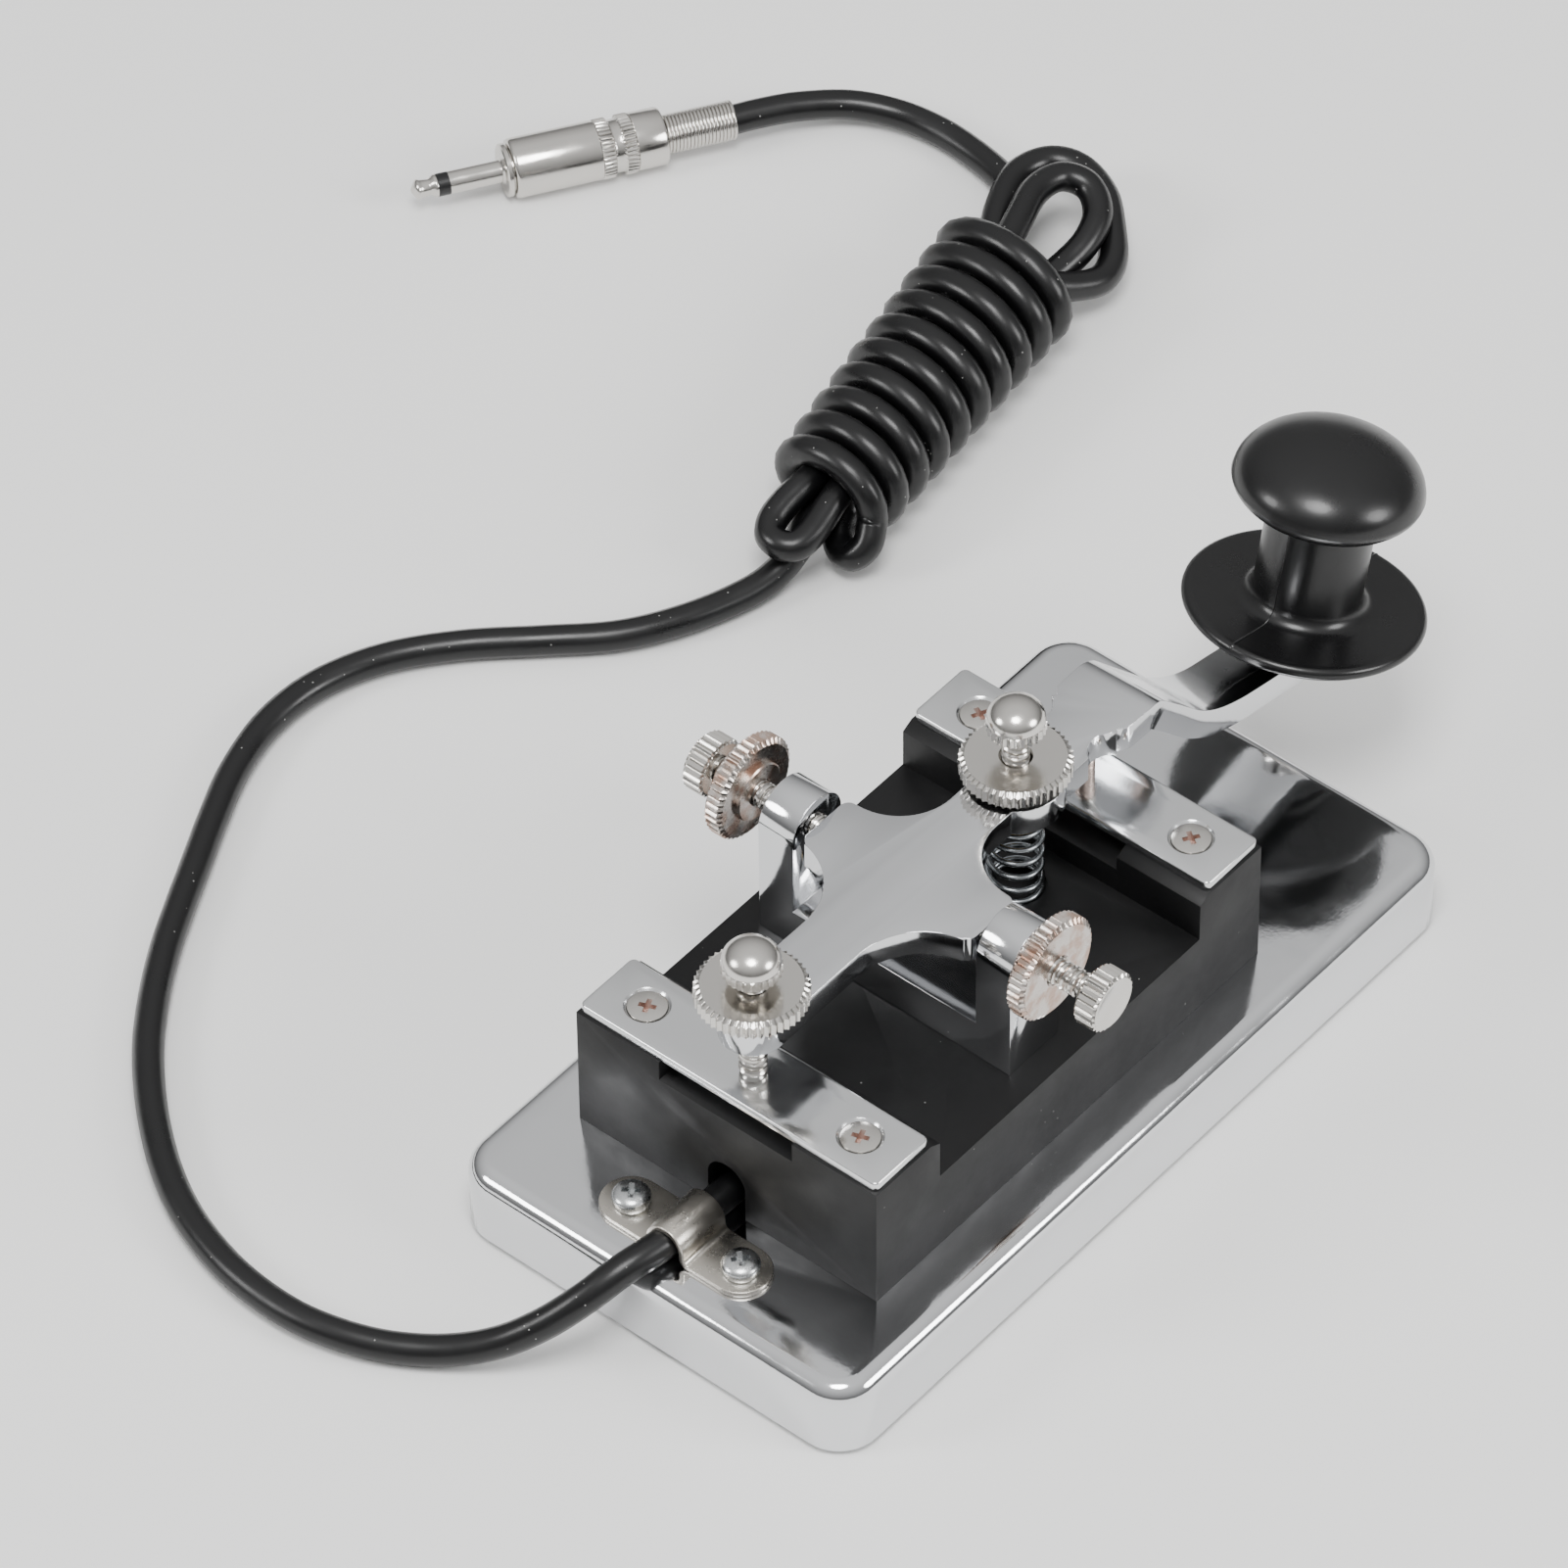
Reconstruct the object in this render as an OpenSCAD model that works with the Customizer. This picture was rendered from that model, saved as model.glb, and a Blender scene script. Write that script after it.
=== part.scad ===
// Straight telegraph key on a heavy chromed base, with its cord, hank and plug.
// Origin: centre of the underside. +Z up, the knob faces -Y and the cord leaves at +Y.

/* [Base] */
// Width of the base, across the lever
base_w = 70; // [62:1:90]
// Length of the base, along the lever
base_l = 133; // [124:1:160]
// Height of the base's top face above the desk
base_top = 13; // [12:0.5:18]
// Radius of the base's upright corners
base_corner_r = 6.5; // [4:0.5:8]
// Radius of the rounding along the base's top edge
base_edge_r = 2.8; // [1.5:0.1:3.5]
// Thickness of the base's top plate
base_plate_t = 5.6; // [5:0.1:6.5]
// Thickness of the base's side walls
base_wall_t = 6; // [5:0.5:7]
// Thickness of the rubber pad underneath
pad_t = 2; // [1.5:0.1:3]
// How far the pad stands out below the base
pad_proud = 0.6; // [0.3:0.1:1]
// Rim of the base left showing round the pad
pad_rim = 3.5; // [3:0.5:5]

/* [Contact block] */
// Width of the moulded block
block_w = 52.4; // [48:0.2:60]
// Length of the moulded block
block_l = 82.7; // [76:0.1:96]
// Distance of the block's middle behind the base's middle
block_y = 8; // [6:0.5:10]
// Height of the block's end walls above the base
block_h = 21.2; // [20:0.1:24]
// Height of the block's floor above the base
floor_h = 13.7; // [12.5:0.1:15]
// Thickness of the end walls, along the lever
end_wall_l = 13.4; // [12.5:0.1:15]
// Drop of the sloped shoulder beside each contact bar
shoulder_drop = 1; // [0.5:0.1:1.5]
// Thickness of the block's hollow shell
shell_t = 3; // [2.5:0.1:3.5]
// Width of the pocket under each contact bar
pocket_w = 23.2; // [20:0.1:26]
// Height of the pocket under each contact bar
pocket_h = 3.4; // [3:0.1:4]
// Depth of the pocket under each contact bar
pocket_d = 7.5; // [7:0.1:8]
// Width of the cord's arch in the rear wall
arch_w = 6.5; // [6:0.1:8]
// Height of the cord's arch above the base
arch_h = 8.8; // [7:0.1:9.5]

/* [Contact bars] */
// Length of a contact bar, across the block
bar_l = 51.8; // [47:0.2:59]
// Width of a contact bar, along the lever
bar_w = 11.2; // [10:0.1:12]
// Thickness of a contact bar
bar_t = 1.6; // [1.6:0.1:2]
// Step from the block's end to the bar's edge
bar_inset = 0.3; // [0.2:0.1:0.6]
// Distance between the two screws of a bar
bar_screw_pitch = 37.2; // [34:0.2:42]
// Head diameter of the countersunk bar screws
bar_screw_head_d = 6.2; // [5.6:0.1:6.6]

/* [Lever] */
// Height of the pivot line above the base
pivot_h = 32.9; // [32:0.1:36]
// Distance of the pivot line behind the block's middle
pivot_back = 2.8; // [2:0.2:4]
// Thickness of the lever
lever_t = 4.4; // [4:0.1:4.8]
// Length of the pivot arms, end to end
arm_span = 29.6; // [28:0.2:30]
// Width of the pivot arms
arm_w = 10; // [9:0.2:10.4]
// Width of the rear arm
rear_arm_w = 9.5; // [9:0.1:11]
// Width of the neck ahead of the pivot
neck_w = 8; // [7:0.2:9]
// Width of the round boss that holds the tension screw
boss_w = 14; // [12:0.5:15]
// Width of the narrow waist behind the front contact
waist_w = 7.8; // [7:0.2:9]
// Width of the front lobe
lobe_w = 12.6; // [11:0.2:14]
// Width of the finger under the knob
finger_w = 9.5; // [9:0.1:11]
// Drop of the S-bend, to where the finger's own slope begins
bend_drop = 15.8; // [14:0.1:17]
// Slope of the S-bend down to the knob
bend_slope = 47; // [42:1:50]
// Forward tilt of the finger and the knob
knob_tilt = 13; // [8:1:16]
// Distance of the tension screw behind the front contact
tension_back = 15.25; // [14:0.25:17]
// Gap between the contacts with the key up
contact_gap = 0.6; // [0.3:0.1:1]

/* [Trunnion bracket] */
// Gap between the bracket's two ears
ear_gap = 32; // [31:0.2:34]
// Thickness of an ear
ear_t = 6; // [5:0.2:7]
// Width of an ear, along the lever
ear_w = 10.4; // [10:0.2:12]
// Height of the bracket's foot between the ears
foot_h = 6.5; // [6:0.1:8]

/* [Thumb screws and lock nuts] */
// Diameter of the adjusting screws
stud_d = 4; // [3.8:0.1:4.2]
// Diameter of the knurled lock nuts
nut_d = 15.8; // [14:0.2:17]
// Height of a lock nut's knurled rim
nut_rim_h = 3; // [2.6:0.1:3.4]
// Diameter of a lock nut's hub
nut_hub_d = 9; // [8:0.5:10]
// Height of a lock nut's hub below its rim
nut_hub_h = 0.8; // [0.5:0.1:1.2]
// Diameter of the domed heads
dome_head_d = 8.4; // [8:0.2:9]
// Height of a domed head's knurled rim
dome_rim_h = 2.2; // [2:0.1:2.6]
// Height of the dome above that rim
dome_h = 3; // [2.6:0.1:3.4]
// Diameter of the flat trunnion heads
flat_head_d = 9; // [8.4:0.2:9.6]
// Length of the flat trunnion heads
flat_head_l = 3.5; // [3:0.1:4]
// How far the gap screw's nut is backed off the lever
gap_nut_back = 1; // [0.1:0.1:2]
// Clear thread between the gap screw's nut and its head
gap_head_rise = 2.2; // [1.8:0.1:4]
// Clear thread between the tension screw's nut and its head
tension_head_rise = 5; // [4.6:0.1:6]
// Clear thread between the left trunnion nut and its head
left_head_reach = 6; // [5:0.2:7]
// Clear thread between the right trunnion nut and its head
right_head_reach = 3.1; // [2:0.1:4]
// How far the right trunnion nut is backed off its ear
right_nut_back = 4; // [3:0.2:5]
// Length of a trunnion screw's cone point
cone_l = 2.4; // [2:0.1:2.8]

/* [Contacts and spring] */
// Diameter of the two contacts
contact_d = 2.8; // [2.4:0.1:3.4]
// Height of the fixed contact above its bar
fixed_contact_h = 3.7; // [3.2:0.1:4]
// Diameter of the contacts' rivet shanks
rivet_d = 2; // [1.8:0.1:2.2]
// Outer diameter of the tension spring
spring_d = 8.4; // [8:0.1:9]
// Wire diameter of the tension spring
spring_wire = 0.9; // [0.7:0.1:1]
// Number of turns of the tension spring
spring_turns = 7; // [6:1:8]
// Depth of the spring's seat in the block's floor
spring_seat = 0.6; // [0.4:0.1:1]
// Gap between the lever and the spring cap
cap_drop = 0.8; // [0.6:0.1:1.2]
// Thickness of the spring cap's flange
cap_t = 1; // [0.8:0.1:1.4]

/* [Knob] */
// Diameter of the knob's cap
cap_d = 27.4; // [25:0.2:30]
// Diameter of the knob's skirt
skirt_d = 35; // [32:0.5:38]
// Thickness of the skirt at its edge
skirt_t = 2; // [1.8:0.1:2.4]
// Diameter of the neck
neck_d = 15.6; // [14:0.2:17]
// Height of the cap's widest line above the skirt
cap_line_h = 19.8; // [18:0.2:22]
// Height of the dome above the widest line
cap_dome_h = 7.4; // [6.5:0.1:8]
// Height of the hub between the finger and the skirt
hub_h = 3.4; // [2.8:0.2:4]
// Diameter of that hub
hub_d = 12; // [11:0.5:13]

/* [Cord and plug] */
// Diameter of the cord
cord_d = 4.6; // [4.2:0.1:5]
// Sideways place of the clamp on the base
clamp_x = 0.8; // [0:0.1:1]
// Width of the clamp's strap
clamp_w = 8.9; // [8:0.1:9.4]
// Thickness of the clamp's strap
clamp_t = 0.9; // [0.8:0.1:1.1]
// Distance between the clamp's two screws
clamp_pitch = 19.3; // [18:0.1:22]
// Height of the wound hank
hank_h = 18; // [16:0.5:20]
// Diameter of the plug's contact pin
pin_d = 3.5; // [3.4:0.1:3.6]
// Diameter of the plug's barrel
barrel_d = 9.2; // [8.8:0.1:10]
// Length of the plug's barrel
barrel_l = 23.8; // [22:0.2:26]
// Length of the strain-relief coil behind the barrel
relief_l = 11.4; // [10:0.2:13]

/* [Hidden] */
$fn = 64;

// Clearances: run is radial, for what turns or slides; snug is for what is fastened.
run = 0.05;
snug = 0.02;
part_gap = 0.3;

// Standard screws
m3_d = 3;
pan_head_d = 5.5;
pan_head_h = 2.2;
thread_pitch = 0.7;

// Heights above the desk
floor_z = base_top + floor_h;
wall_z = base_top + block_h;
bar_z = wall_z + bar_t;
pivot_z = base_top + pivot_h;
lever_top = pivot_z + lever_t / 2;
lever_bottom = pivot_z - lever_t / 2;
cavity_z = floor_z - shell_t;
foot_z = floor_z + foot_h;

// Places along the lever
pivot_y = block_y + pivot_back;
bar_y = block_l / 2 - bar_inset - bar_w / 2;
rear_bar_y = block_y + bar_y;
front_bar_y = block_y - bar_y;
gap_y = rear_bar_y;
contact_y = front_bar_y;
tension_y = contact_y + tension_back;
inner_wall = block_l / 2 - end_wall_l;

// Fixed contact: its height never takes more than this share of the room under the lever
fixed_h = min(fixed_contact_h, 0.6 * (lever_bottom - bar_z - contact_gap));

// Tail of its rivet, below its bar
rivet_tail = 1.5;

// Finger: where the knob's axis crosses the finger's top face
bend_y = contact_y - 8.35;
finger_y = bend_y - 39.8;
crest_r = max(5, lever_t + 0.6);
sweep_r = 25;

// Knob: fillet at the neck's foot, and the threaded insert in it
knob_fillet = 2;
insert_l = 9;
insert_d = stud_d + 3;

// Depth of the blind bore in a thumb head
head_bore = 2;

// Block screws, under the base's top plate
block_screw_x = block_w / 2 - 8;
block_screw_y = block_l / 2 - 8;
boss_d = 9;
block_screw_l = base_plate_t + 8;
bracket_screw_x = 9;
bracket_screw_l = shell_t + 5;
bar_screw_l = 9;

// Leads: diameter, height of their run under the floor, and the holes they rise through
lead_d = 1.6;
lead_z = base_top + 4;
front_lead_x = 5;
front_lead_y = contact_y + 2.6;
bracket_lead_x = 3;

// Clamp
clamp_y = block_y + block_l / 2 + 7.6;
clamp_foot_r = clamp_w / 2;
clamp_screw_l = base_plate_t - 1;
saddle_r = cord_d / 2 + part_gap / 3;
cord_z = base_top + cord_d / 2 + 0.1;
desk_z = cord_d / 2 + 0.1;
plug_z = barrel_d / 2;

// Route of the cord's free run, from inside the block to the hank
run_path = concat(
    [for (p = [[-0.6, -14, 0.1], [-0.4, -10, 0.1], [-0.2, -5, 0.1], [0, 0, 0], [0.6, 5.5, 0]])
        [clamp_x + p[0], clamp_y + p[1], cord_z + p[2]]],
    [for (p = [[2.8, 1.5, cord_z - 0.7], [5, 6.5, 12], [8.5, 11, 8.2], [13, 15.3, 4.9], [18.5, 19.5, desk_z + 0.6]])
        [p[0], base_l / 2 + p[1], p[2]]],
    [for (p = [
        [25, 90], [32, 92.8], [40, 94.2], [50, 93.6], [60, 90.8], [69, 86.2], [78, 79.4], [86, 71.6],
        [92, 64], [97.5, 55.5], [101.5, 48], [105.5, 40], [109.5, 32], [113.5, 23], [116, 13], [115.6, 3],
        [111.8, -7], [105, -16], [96.5, -24.2], [89, -31.6], [84, -39.5], [80.6, -48]
    ]) [p[0], p[1], desk_z]],
    [[79, -54.5, desk_z + 0.6], [78.8, -60, desk_z + 2.6]]
);

// Route of the cord's tail, from the hank to the plug
tail_path = concat(
    [for (p = [[104, -139.6, 0], [107, -141.4, 0.1], [113, -142.8, 0], [120, -143.3, 0.1], [127, -142, 0.6]])
        [p[0], p[1], desk_z + p[2]]],
    [for (p = [[133.5, -138.4, -0.8], [139, -132.6, -0.2], [142.6, -127.3, 0], [144.5, -124.1, 0],
        [148.3, -118.1, 0]]) [p[0], p[1], plug_z + p[2]]]
);

// Hank: round ends at [x, y] with their radii
hank_near = [81.5, -67];
hank_near_r = 10.5;
hank_far = [90.5, -136];
hank_far_r = 15.5;

// Plug: end of the strain relief, and its heading on the desk
plug_pos = [144.5, -124.1];
plug_heading = 57.5;
tip_l = 4;
insulator_l = 1.8;
sleeve_l = 8.4;
flange_l = 0.9;
flange_d = barrel_d - 1;
relief_d = 6.2;
barrel_wall = 0.8;
rod_d = 1.2;
liner_d = 2.2;

// ---- Shapes used more than once ----

// Points of an arc, from angle a0 to a1
function arc(cx, cy, r, a0, a1, n = 10) =
    [for (i = [0:n]) [cx + r * cos(a0 + (a1 - a0) * i / n), cy + r * sin(a0 + (a1 - a0) * i / n)]];

// Both halves of an outline that is symmetric about x = 0, given its +x half
function mirrored(half) =
    concat(half, [for (i = [len(half) - 1:-1:0]) [-half[i][0], half[i][1]]]);

module rounded_rect(w, l, r) {
    square([w - 2 * r, l], center = true);
    square([w, l - 2 * r], center = true);
    for (x = [-1, 1], y = [-1, 1])
        translate([x * (w / 2 - r), y * (l / 2 - r)]) circle(r);
}

module at_block_screws() {
    for (x = [-1, 1], y = [-1, 1])
        translate([x * block_screw_x, block_y + y * block_screw_y, 0]) children();
}

module at_clamp_screws() {
    for (side = [-1, 1])
        translate([clamp_x + side * clamp_pitch / 2, clamp_y, 0]) children();
}

module at_bracket_screws() {
    for (side = [-1, 1])
        translate([side * bracket_screw_x, pivot_y, 0]) children();
}

module at_bar_screws() {
    for (side = [-1, 1], y = [rear_bar_y, front_bar_y])
        translate([side * bar_screw_pitch / 2, y, bar_z]) children();
}

// Pan-head screw: head above z = 0, shank below
module pan_screw(shank_l) {
    cylinder(d = pan_head_d, h = pan_head_h * 0.6);
    translate([0, 0, pan_head_h * 0.6]) cylinder(d1 = pan_head_d, d2 = pan_head_d * 0.6, h = pan_head_h * 0.4);
    translate([0, 0, -shank_l]) cylinder(d = m3_d, h = shank_l);
}

// Countersunk screw: flat head's top at z = 0, shank below
module flat_screw(shank_l, grow = 0) {
    head_h = (bar_screw_head_d - m3_d) / 2;
    translate([0, 0, -head_h]) cylinder(d1 = m3_d + 2 * grow, d2 = bar_screw_head_d + 2 * grow, h = head_h);
    translate([0, 0, -shank_l]) cylinder(d = m3_d + 2 * grow, h = shank_l - head_h);
}

// Knurled lock nut: hub from z = 0, rim above it
module lock_nut() {
    difference() {
        union() {
            cylinder(d = nut_hub_d, h = nut_hub_h);
            translate([0, 0, nut_hub_h]) cylinder(d = nut_d, h = nut_rim_h);
        }
        translate([0, 0, -1]) cylinder(d = stud_d + 2 * run, h = nut_hub_h + nut_rim_h + 2);
    }
}

// Domed thumb head: knurled rim from z = 0
module dome_head(bore_l) {
    difference() {
        union() {
            cylinder(d = dome_head_d, h = dome_rim_h);
            translate([0, 0, dome_rim_h]) rotate_extrude()
                polygon(concat([[0, 0]], [for (a = [0:10:90]) [dome_head_d / 2 * cos(a), dome_h * sin(a)]]));
        }
        translate([0, 0, -1]) cylinder(d = stud_d + 2 * run, h = bore_l + 1);
    }
}

// Flat trunnion head, from z = 0
module flat_head(bore_l) {
    difference() {
        cylinder(d = flat_head_d, h = flat_head_l);
        translate([0, 0, -1]) cylinder(d = stud_d + 2 * run, h = bore_l + 1);
    }
}

// Along the pivot line: z runs outwards on the given side
module on_pivot(side) {
    translate([0, pivot_y, pivot_z]) rotate([0, side * 90, 0]) children();
}

// Cone-pointed trunnion screw from its tip to the end of its shank
module trunnion_stud(side, reach) {
    tip = arm_span / 2 - cone_l * 0.8;
    on_pivot(side) translate([0, 0, tip]) {
        cylinder(d1 = 0.4, d2 = stud_d, h = cone_l);
        translate([0, 0, cone_l]) cylinder(d = stud_d, h = reach - tip - cone_l);
    }
}

// Places of the trunnion hardware, outwards from the middle
ear_out = ear_gap / 2 + ear_t;
nut_len = nut_hub_h + nut_rim_h;
left_head_at = ear_out + part_gap / 3 + nut_len + left_head_reach;
right_nut_at = ear_out + right_nut_back;
right_head_at = right_nut_at + nut_len + right_head_reach;

// Places of the upright hardware
nut_at = lever_top + 0.05;
nut_top = nut_at + nut_len;
gap_nut_at = nut_at + gap_nut_back;
gap_head_at = gap_nut_at + nut_len + gap_head_rise;
tension_head_at = nut_top + tension_head_rise;
cap_top = lever_bottom - cap_drop;
spring_top = cap_top - cap_t;
spring_bottom = floor_z - spring_seat;

// A cord or lead: one tube swept along its points
function unit(v) = v / norm(v);
function tangent(p, i) = unit(p[min(i + 1, len(p) - 1)] - p[max(i - 1, 0)]);

// The tube's rings are laid out from a reference direction that its path never runs along
module swept_tube(p, d, sides, reference = [0, 0, 1]) {
    n = len(p);
    points = [for (i = [0:n - 1])
        let (t = tangent(p, i), s = unit(cross(t, reference)), u = cross(s, t))
        for (k = [0:sides - 1])
            p[i] + d / 2 * (cos(360 * k / sides) * s + sin(360 * k / sides) * u)];
    walls = [for (i = [0:n - 2], k = [0:sides - 1])
        [i * sides + k, i * sides + (k + 1) % sides, (i + 1) * sides + (k + 1) % sides, (i + 1) * sides + k]];
    ends = [[for (k = [sides - 1:-1:0]) k], [for (k = [0:sides - 1]) (n - 1) * sides + k]];
    polyhedron(points, concat(walls, ends), convexity = 10);
}

// ---- Base ----

module base_casting() {
    color("silver") difference() {
        base_body();
        base_underside();
        at_block_screws() translate([0, 0, base_top - base_plate_t - 1])
            cylinder(d = m3_d + 2 * snug, h = base_plate_t + 2);
        at_clamp_screws() translate([0, 0, base_top - base_plate_t - 1])
            cylinder(d = m3_d + 2 * snug, h = base_plate_t + 2);
    }
}

module base_body() {
    cx = base_w / 2 - base_corner_r;
    cy = base_l / 2 - base_corner_r;
    hull() for (x = [-cx, cx], y = [-cy, cy]) translate([x, y, 0]) {
        translate([0, 0, pad_proud]) cylinder(r = base_corner_r, h = 1, $fn = 48);
        translate([0, 0, base_top - base_edge_r]) rotate_extrude($fn = 48)
            translate([base_corner_r - base_edge_r, 0]) circle(base_edge_r, $fn = 32);
    }
}

module base_underside() {
    pocket_r = base_corner_r - pad_rim;
    cavity_w = base_w - 2 * base_wall_t;
    cavity_l = base_l - 2 * base_wall_t;
    linear_extrude(pad_t) rounded_rect(base_w - 2 * pad_rim, base_l - 2 * pad_rim, pocket_r);
    linear_extrude(base_top - base_plate_t) rounded_rect(cavity_w, cavity_l, pocket_r);
}

module base_pad() {
    inset = pad_rim + 0.1;
    color("dimgray") linear_extrude(pad_t)
        rounded_rect(base_w - 2 * inset, base_l - 2 * inset, base_corner_r - pad_rim);
}

module block_screws() {
    color("lightgray") at_block_screws() translate([0, 0, base_top - base_plate_t])
        mirror([0, 0, 1]) pan_screw(block_screw_l);
}

// ---- Contact block ----

module contact_block() {
    color("#1b1b1d") difference() {
        translate([0, block_y, base_top]) block_shell();
        translate([0, block_y, 0]) block_pockets();
        cord_arch();
        at_bar_screws() flat_screw(bar_screw_l, snug);
        at_bracket_screws() translate([0, 0, cavity_z - 1]) cylinder(d = m3_d + 2 * snug, h = shell_t + 2);
        translate([0, contact_y, wall_z - rivet_tail - snug]) cylinder(d = rivet_d + 1, h = rivet_tail + 1);
        translate([0, tension_y, spring_bottom]) cylinder(d = spring_d + 0.4, h = spring_seat + 1);
        lead_holes();
    }
}

// Side view of the block: end walls with sloped shoulders, and the floor between
module block_shell() {
    half = block_l / 2;
    ledge = half - bar_inset - bar_w;
    difference() {
        translate([-block_w / 2, 0, 0]) rotate([90, 0, 90]) linear_extrude(block_w) polygon([
            [-half, 0], [half, 0], [half, block_h], [ledge, block_h],
            [inner_wall, block_h - shoulder_drop], [inner_wall, floor_h],
            [-inner_wall, floor_h], [-inner_wall, block_h - shoulder_drop],
            [-ledge, block_h], [-half, block_h]
        ]);
        block_hollow();
    }
}

module block_hollow() {
    hollow_w = block_w - 2 * shell_t;
    hollow_l = block_l - 2 * shell_t;
    difference() {
        translate([-hollow_w / 2, -hollow_l / 2, -1]) cube([hollow_w, hollow_l, floor_h - shell_t + 1]);
        for (x = [-1, 1], y = [-1, 1]) translate([x * block_screw_x, y * block_screw_y, 0])
            difference() {
                cylinder(d = boss_d, h = floor_h);
                translate([0, 0, -1]) cylinder(d = m3_d + 2 * snug, h = block_screw_l - base_plate_t + 1.5);
            }
    }
}

// Pockets under the bars: open to the rear face and to the front wall's inner face
module block_pockets() {
    pocket_z = wall_z - pocket_h;
    translate([-pocket_w / 2, block_l / 2 - pocket_d, pocket_z]) cube([pocket_w, pocket_d + 1, pocket_h + 1]);
    translate([-pocket_w / 2, -inner_wall - pocket_d, pocket_z]) cube([pocket_w, pocket_d + 1, pocket_h + 1]);
}

module cord_arch() {
    r = arch_w / 2;
    translate([0, block_y + block_l / 2 - shell_t - 1, base_top - 1]) {
        translate([-r, 0, 0]) cube([arch_w, shell_t + 2, arch_h - r + 1]);
        translate([0, 0, arch_h - r + 1]) rotate([-90, 0, 0]) cylinder(r = r, h = shell_t + 2);
    }
}

module lead_holes() {
    translate([front_lead_x, front_lead_y, cavity_z - 1]) cylinder(d = lead_d + 0.8, h = block_h);
    translate([bracket_lead_x, pivot_y, cavity_z - 1]) cylinder(d = lead_d + 0.8, h = shell_t + 2);
}

// ---- Contact bars ----

module contact_bar(y) {
    difference() {
        translate([-bar_l / 2, y - bar_w / 2, wall_z]) cube([bar_l, bar_w, bar_t]);
        at_bar_screws() flat_screw(bar_screw_l, snug);
    }
}

module rear_bar() {
    color("gainsboro") contact_bar(rear_bar_y);
}

module front_bar() {
    color("gainsboro") difference() {
        contact_bar(front_bar_y);
        translate([0, contact_y, wall_z - 1]) cylinder(d = rivet_d + 2 * snug, h = bar_t + 2);
    }
}

module bar_screws() {
    color("silver") at_bar_screws() flat_screw(bar_screw_l);
}

// ---- Trunnion bracket ----

module trunnion_bracket() {
    color("gainsboro") difference() {
        translate([0, pivot_y, 0]) bracket_body();
        for (side = [-1, 1]) on_pivot(side) translate([0, 0, ear_gap / 2 - 1])
            cylinder(d = stud_d + 2 * run, h = ear_t + 2);
        at_bracket_screws() translate([0, 0, floor_z - 1]) cylinder(d = m3_d + 2 * snug, h = 6.2);
        translate([bracket_lead_x, pivot_y, floor_z - 1]) cylinder(d = lead_d + 2 * snug, h = 3);
    }
}

module bracket_body() {
    translate([-ear_out, -ear_w / 2, floor_z]) cube([2 * ear_out, ear_w, foot_h]);
    for (side = [-1, 1]) translate([side * (ear_gap + ear_t) / 2, 0, 0]) {
        translate([-ear_t / 2, -ear_w / 2, floor_z]) cube([ear_t, ear_w, pivot_z - floor_z]);
        translate([-ear_t / 2, 0, pivot_z]) rotate([0, 90, 0]) cylinder(d = ear_w, h = ear_t);
    }
}

module bracket_screws() {
    color("lightgray") at_bracket_screws() translate([0, 0, cavity_z])
        mirror([0, 0, 1]) pan_screw(bracket_screw_l);
}

// ---- Lever ----

// Top view of the lever, +x half, from the rear end to the knob's end
rear_fillet_r = 11;
arm_corner_r = 1.5;
waist_y = contact_y + 3.45;
waist_r = 3.5;
lobe_y = contact_y - 2.55;
lobe_corner_r = 3;
arm_rear_y = pivot_y + arm_w / 2;
arm_front_y = pivot_y - arm_w / 2;
neck_fillet_r = min(9, arm_front_y - tension_y - 0.41 * boss_w);
arm_corner_x = arm_span / 2 - arm_corner_r;
lever_half = concat(
    arc(0, gap_y, rear_arm_w / 2, 90, 0, 9),
    arc(rear_arm_w / 2 + rear_fillet_r, arm_rear_y + rear_fillet_r, rear_fillet_r, 180, 260, 9),
    arc(arm_corner_x, arm_rear_y - arm_corner_r, arm_corner_r, 75, 0, 4),
    arc(arm_corner_x, arm_front_y + arm_corner_r, arm_corner_r, 0, -75, 4),
    arc(neck_w / 2 + neck_fillet_r, arm_front_y - neck_fillet_r, neck_fillet_r, 92, 180, 9),
    arc(0, tension_y, boss_w / 2, 55, -36, 9),
    arc(waist_w / 2 + waist_r, waist_y, waist_r, 120, 240, 8),
    arc(lobe_w / 2 - lobe_corner_r, lobe_y, lobe_corner_r, 50, 0, 4),
    [[lobe_w / 2, bend_y + 1], [finger_w / 2 + 0.8, bend_y - 5], [finger_w / 2 + 0.4, bend_y - 11]],
    [[finger_w / 2, bend_y - 18]],
    arc(0, finger_y, finger_w / 2, 0, -90, 9)
);

// Centre line of the lever's top face in the side view, as [y, z]
bend_foot = [bend_y - bend_drop / tan(bend_slope), lever_top - bend_drop];
finger_end_y = finger_y - finger_w;
lever_line = concat(
    [[gap_y + rear_arm_w, lever_top]],
    bend_arc([bend_y, lever_top], 0, bend_slope, crest_r),
    bend_arc(bend_foot, bend_slope, knob_tilt, sweep_r),
    [[finger_end_y, finger_top(finger_end_y)]]
);

// Height of the finger's sloped top face at y
function finger_top(y) = bend_foot[1] - (bend_foot[0] - y) * tan(knob_tilt);

// Rounded corner of the side view: it heads forward and down, and turns from slope a0 to slope a1
function bend_arc(corner, a0, a1, r) =
    let (way = a1 > a0 ? 1 : -1, reach = r * tan(abs(a1 - a0) / 2))
    let (start = corner + reach * [cos(a0), sin(a0)])
    let (centre = start + way * r * [sin(a0), -cos(a0)])
    [for (i = [0:8]) let (a = a0 + (a1 - a0) * i / 8) centre + way * r * [-sin(a), cos(a)]];

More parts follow.
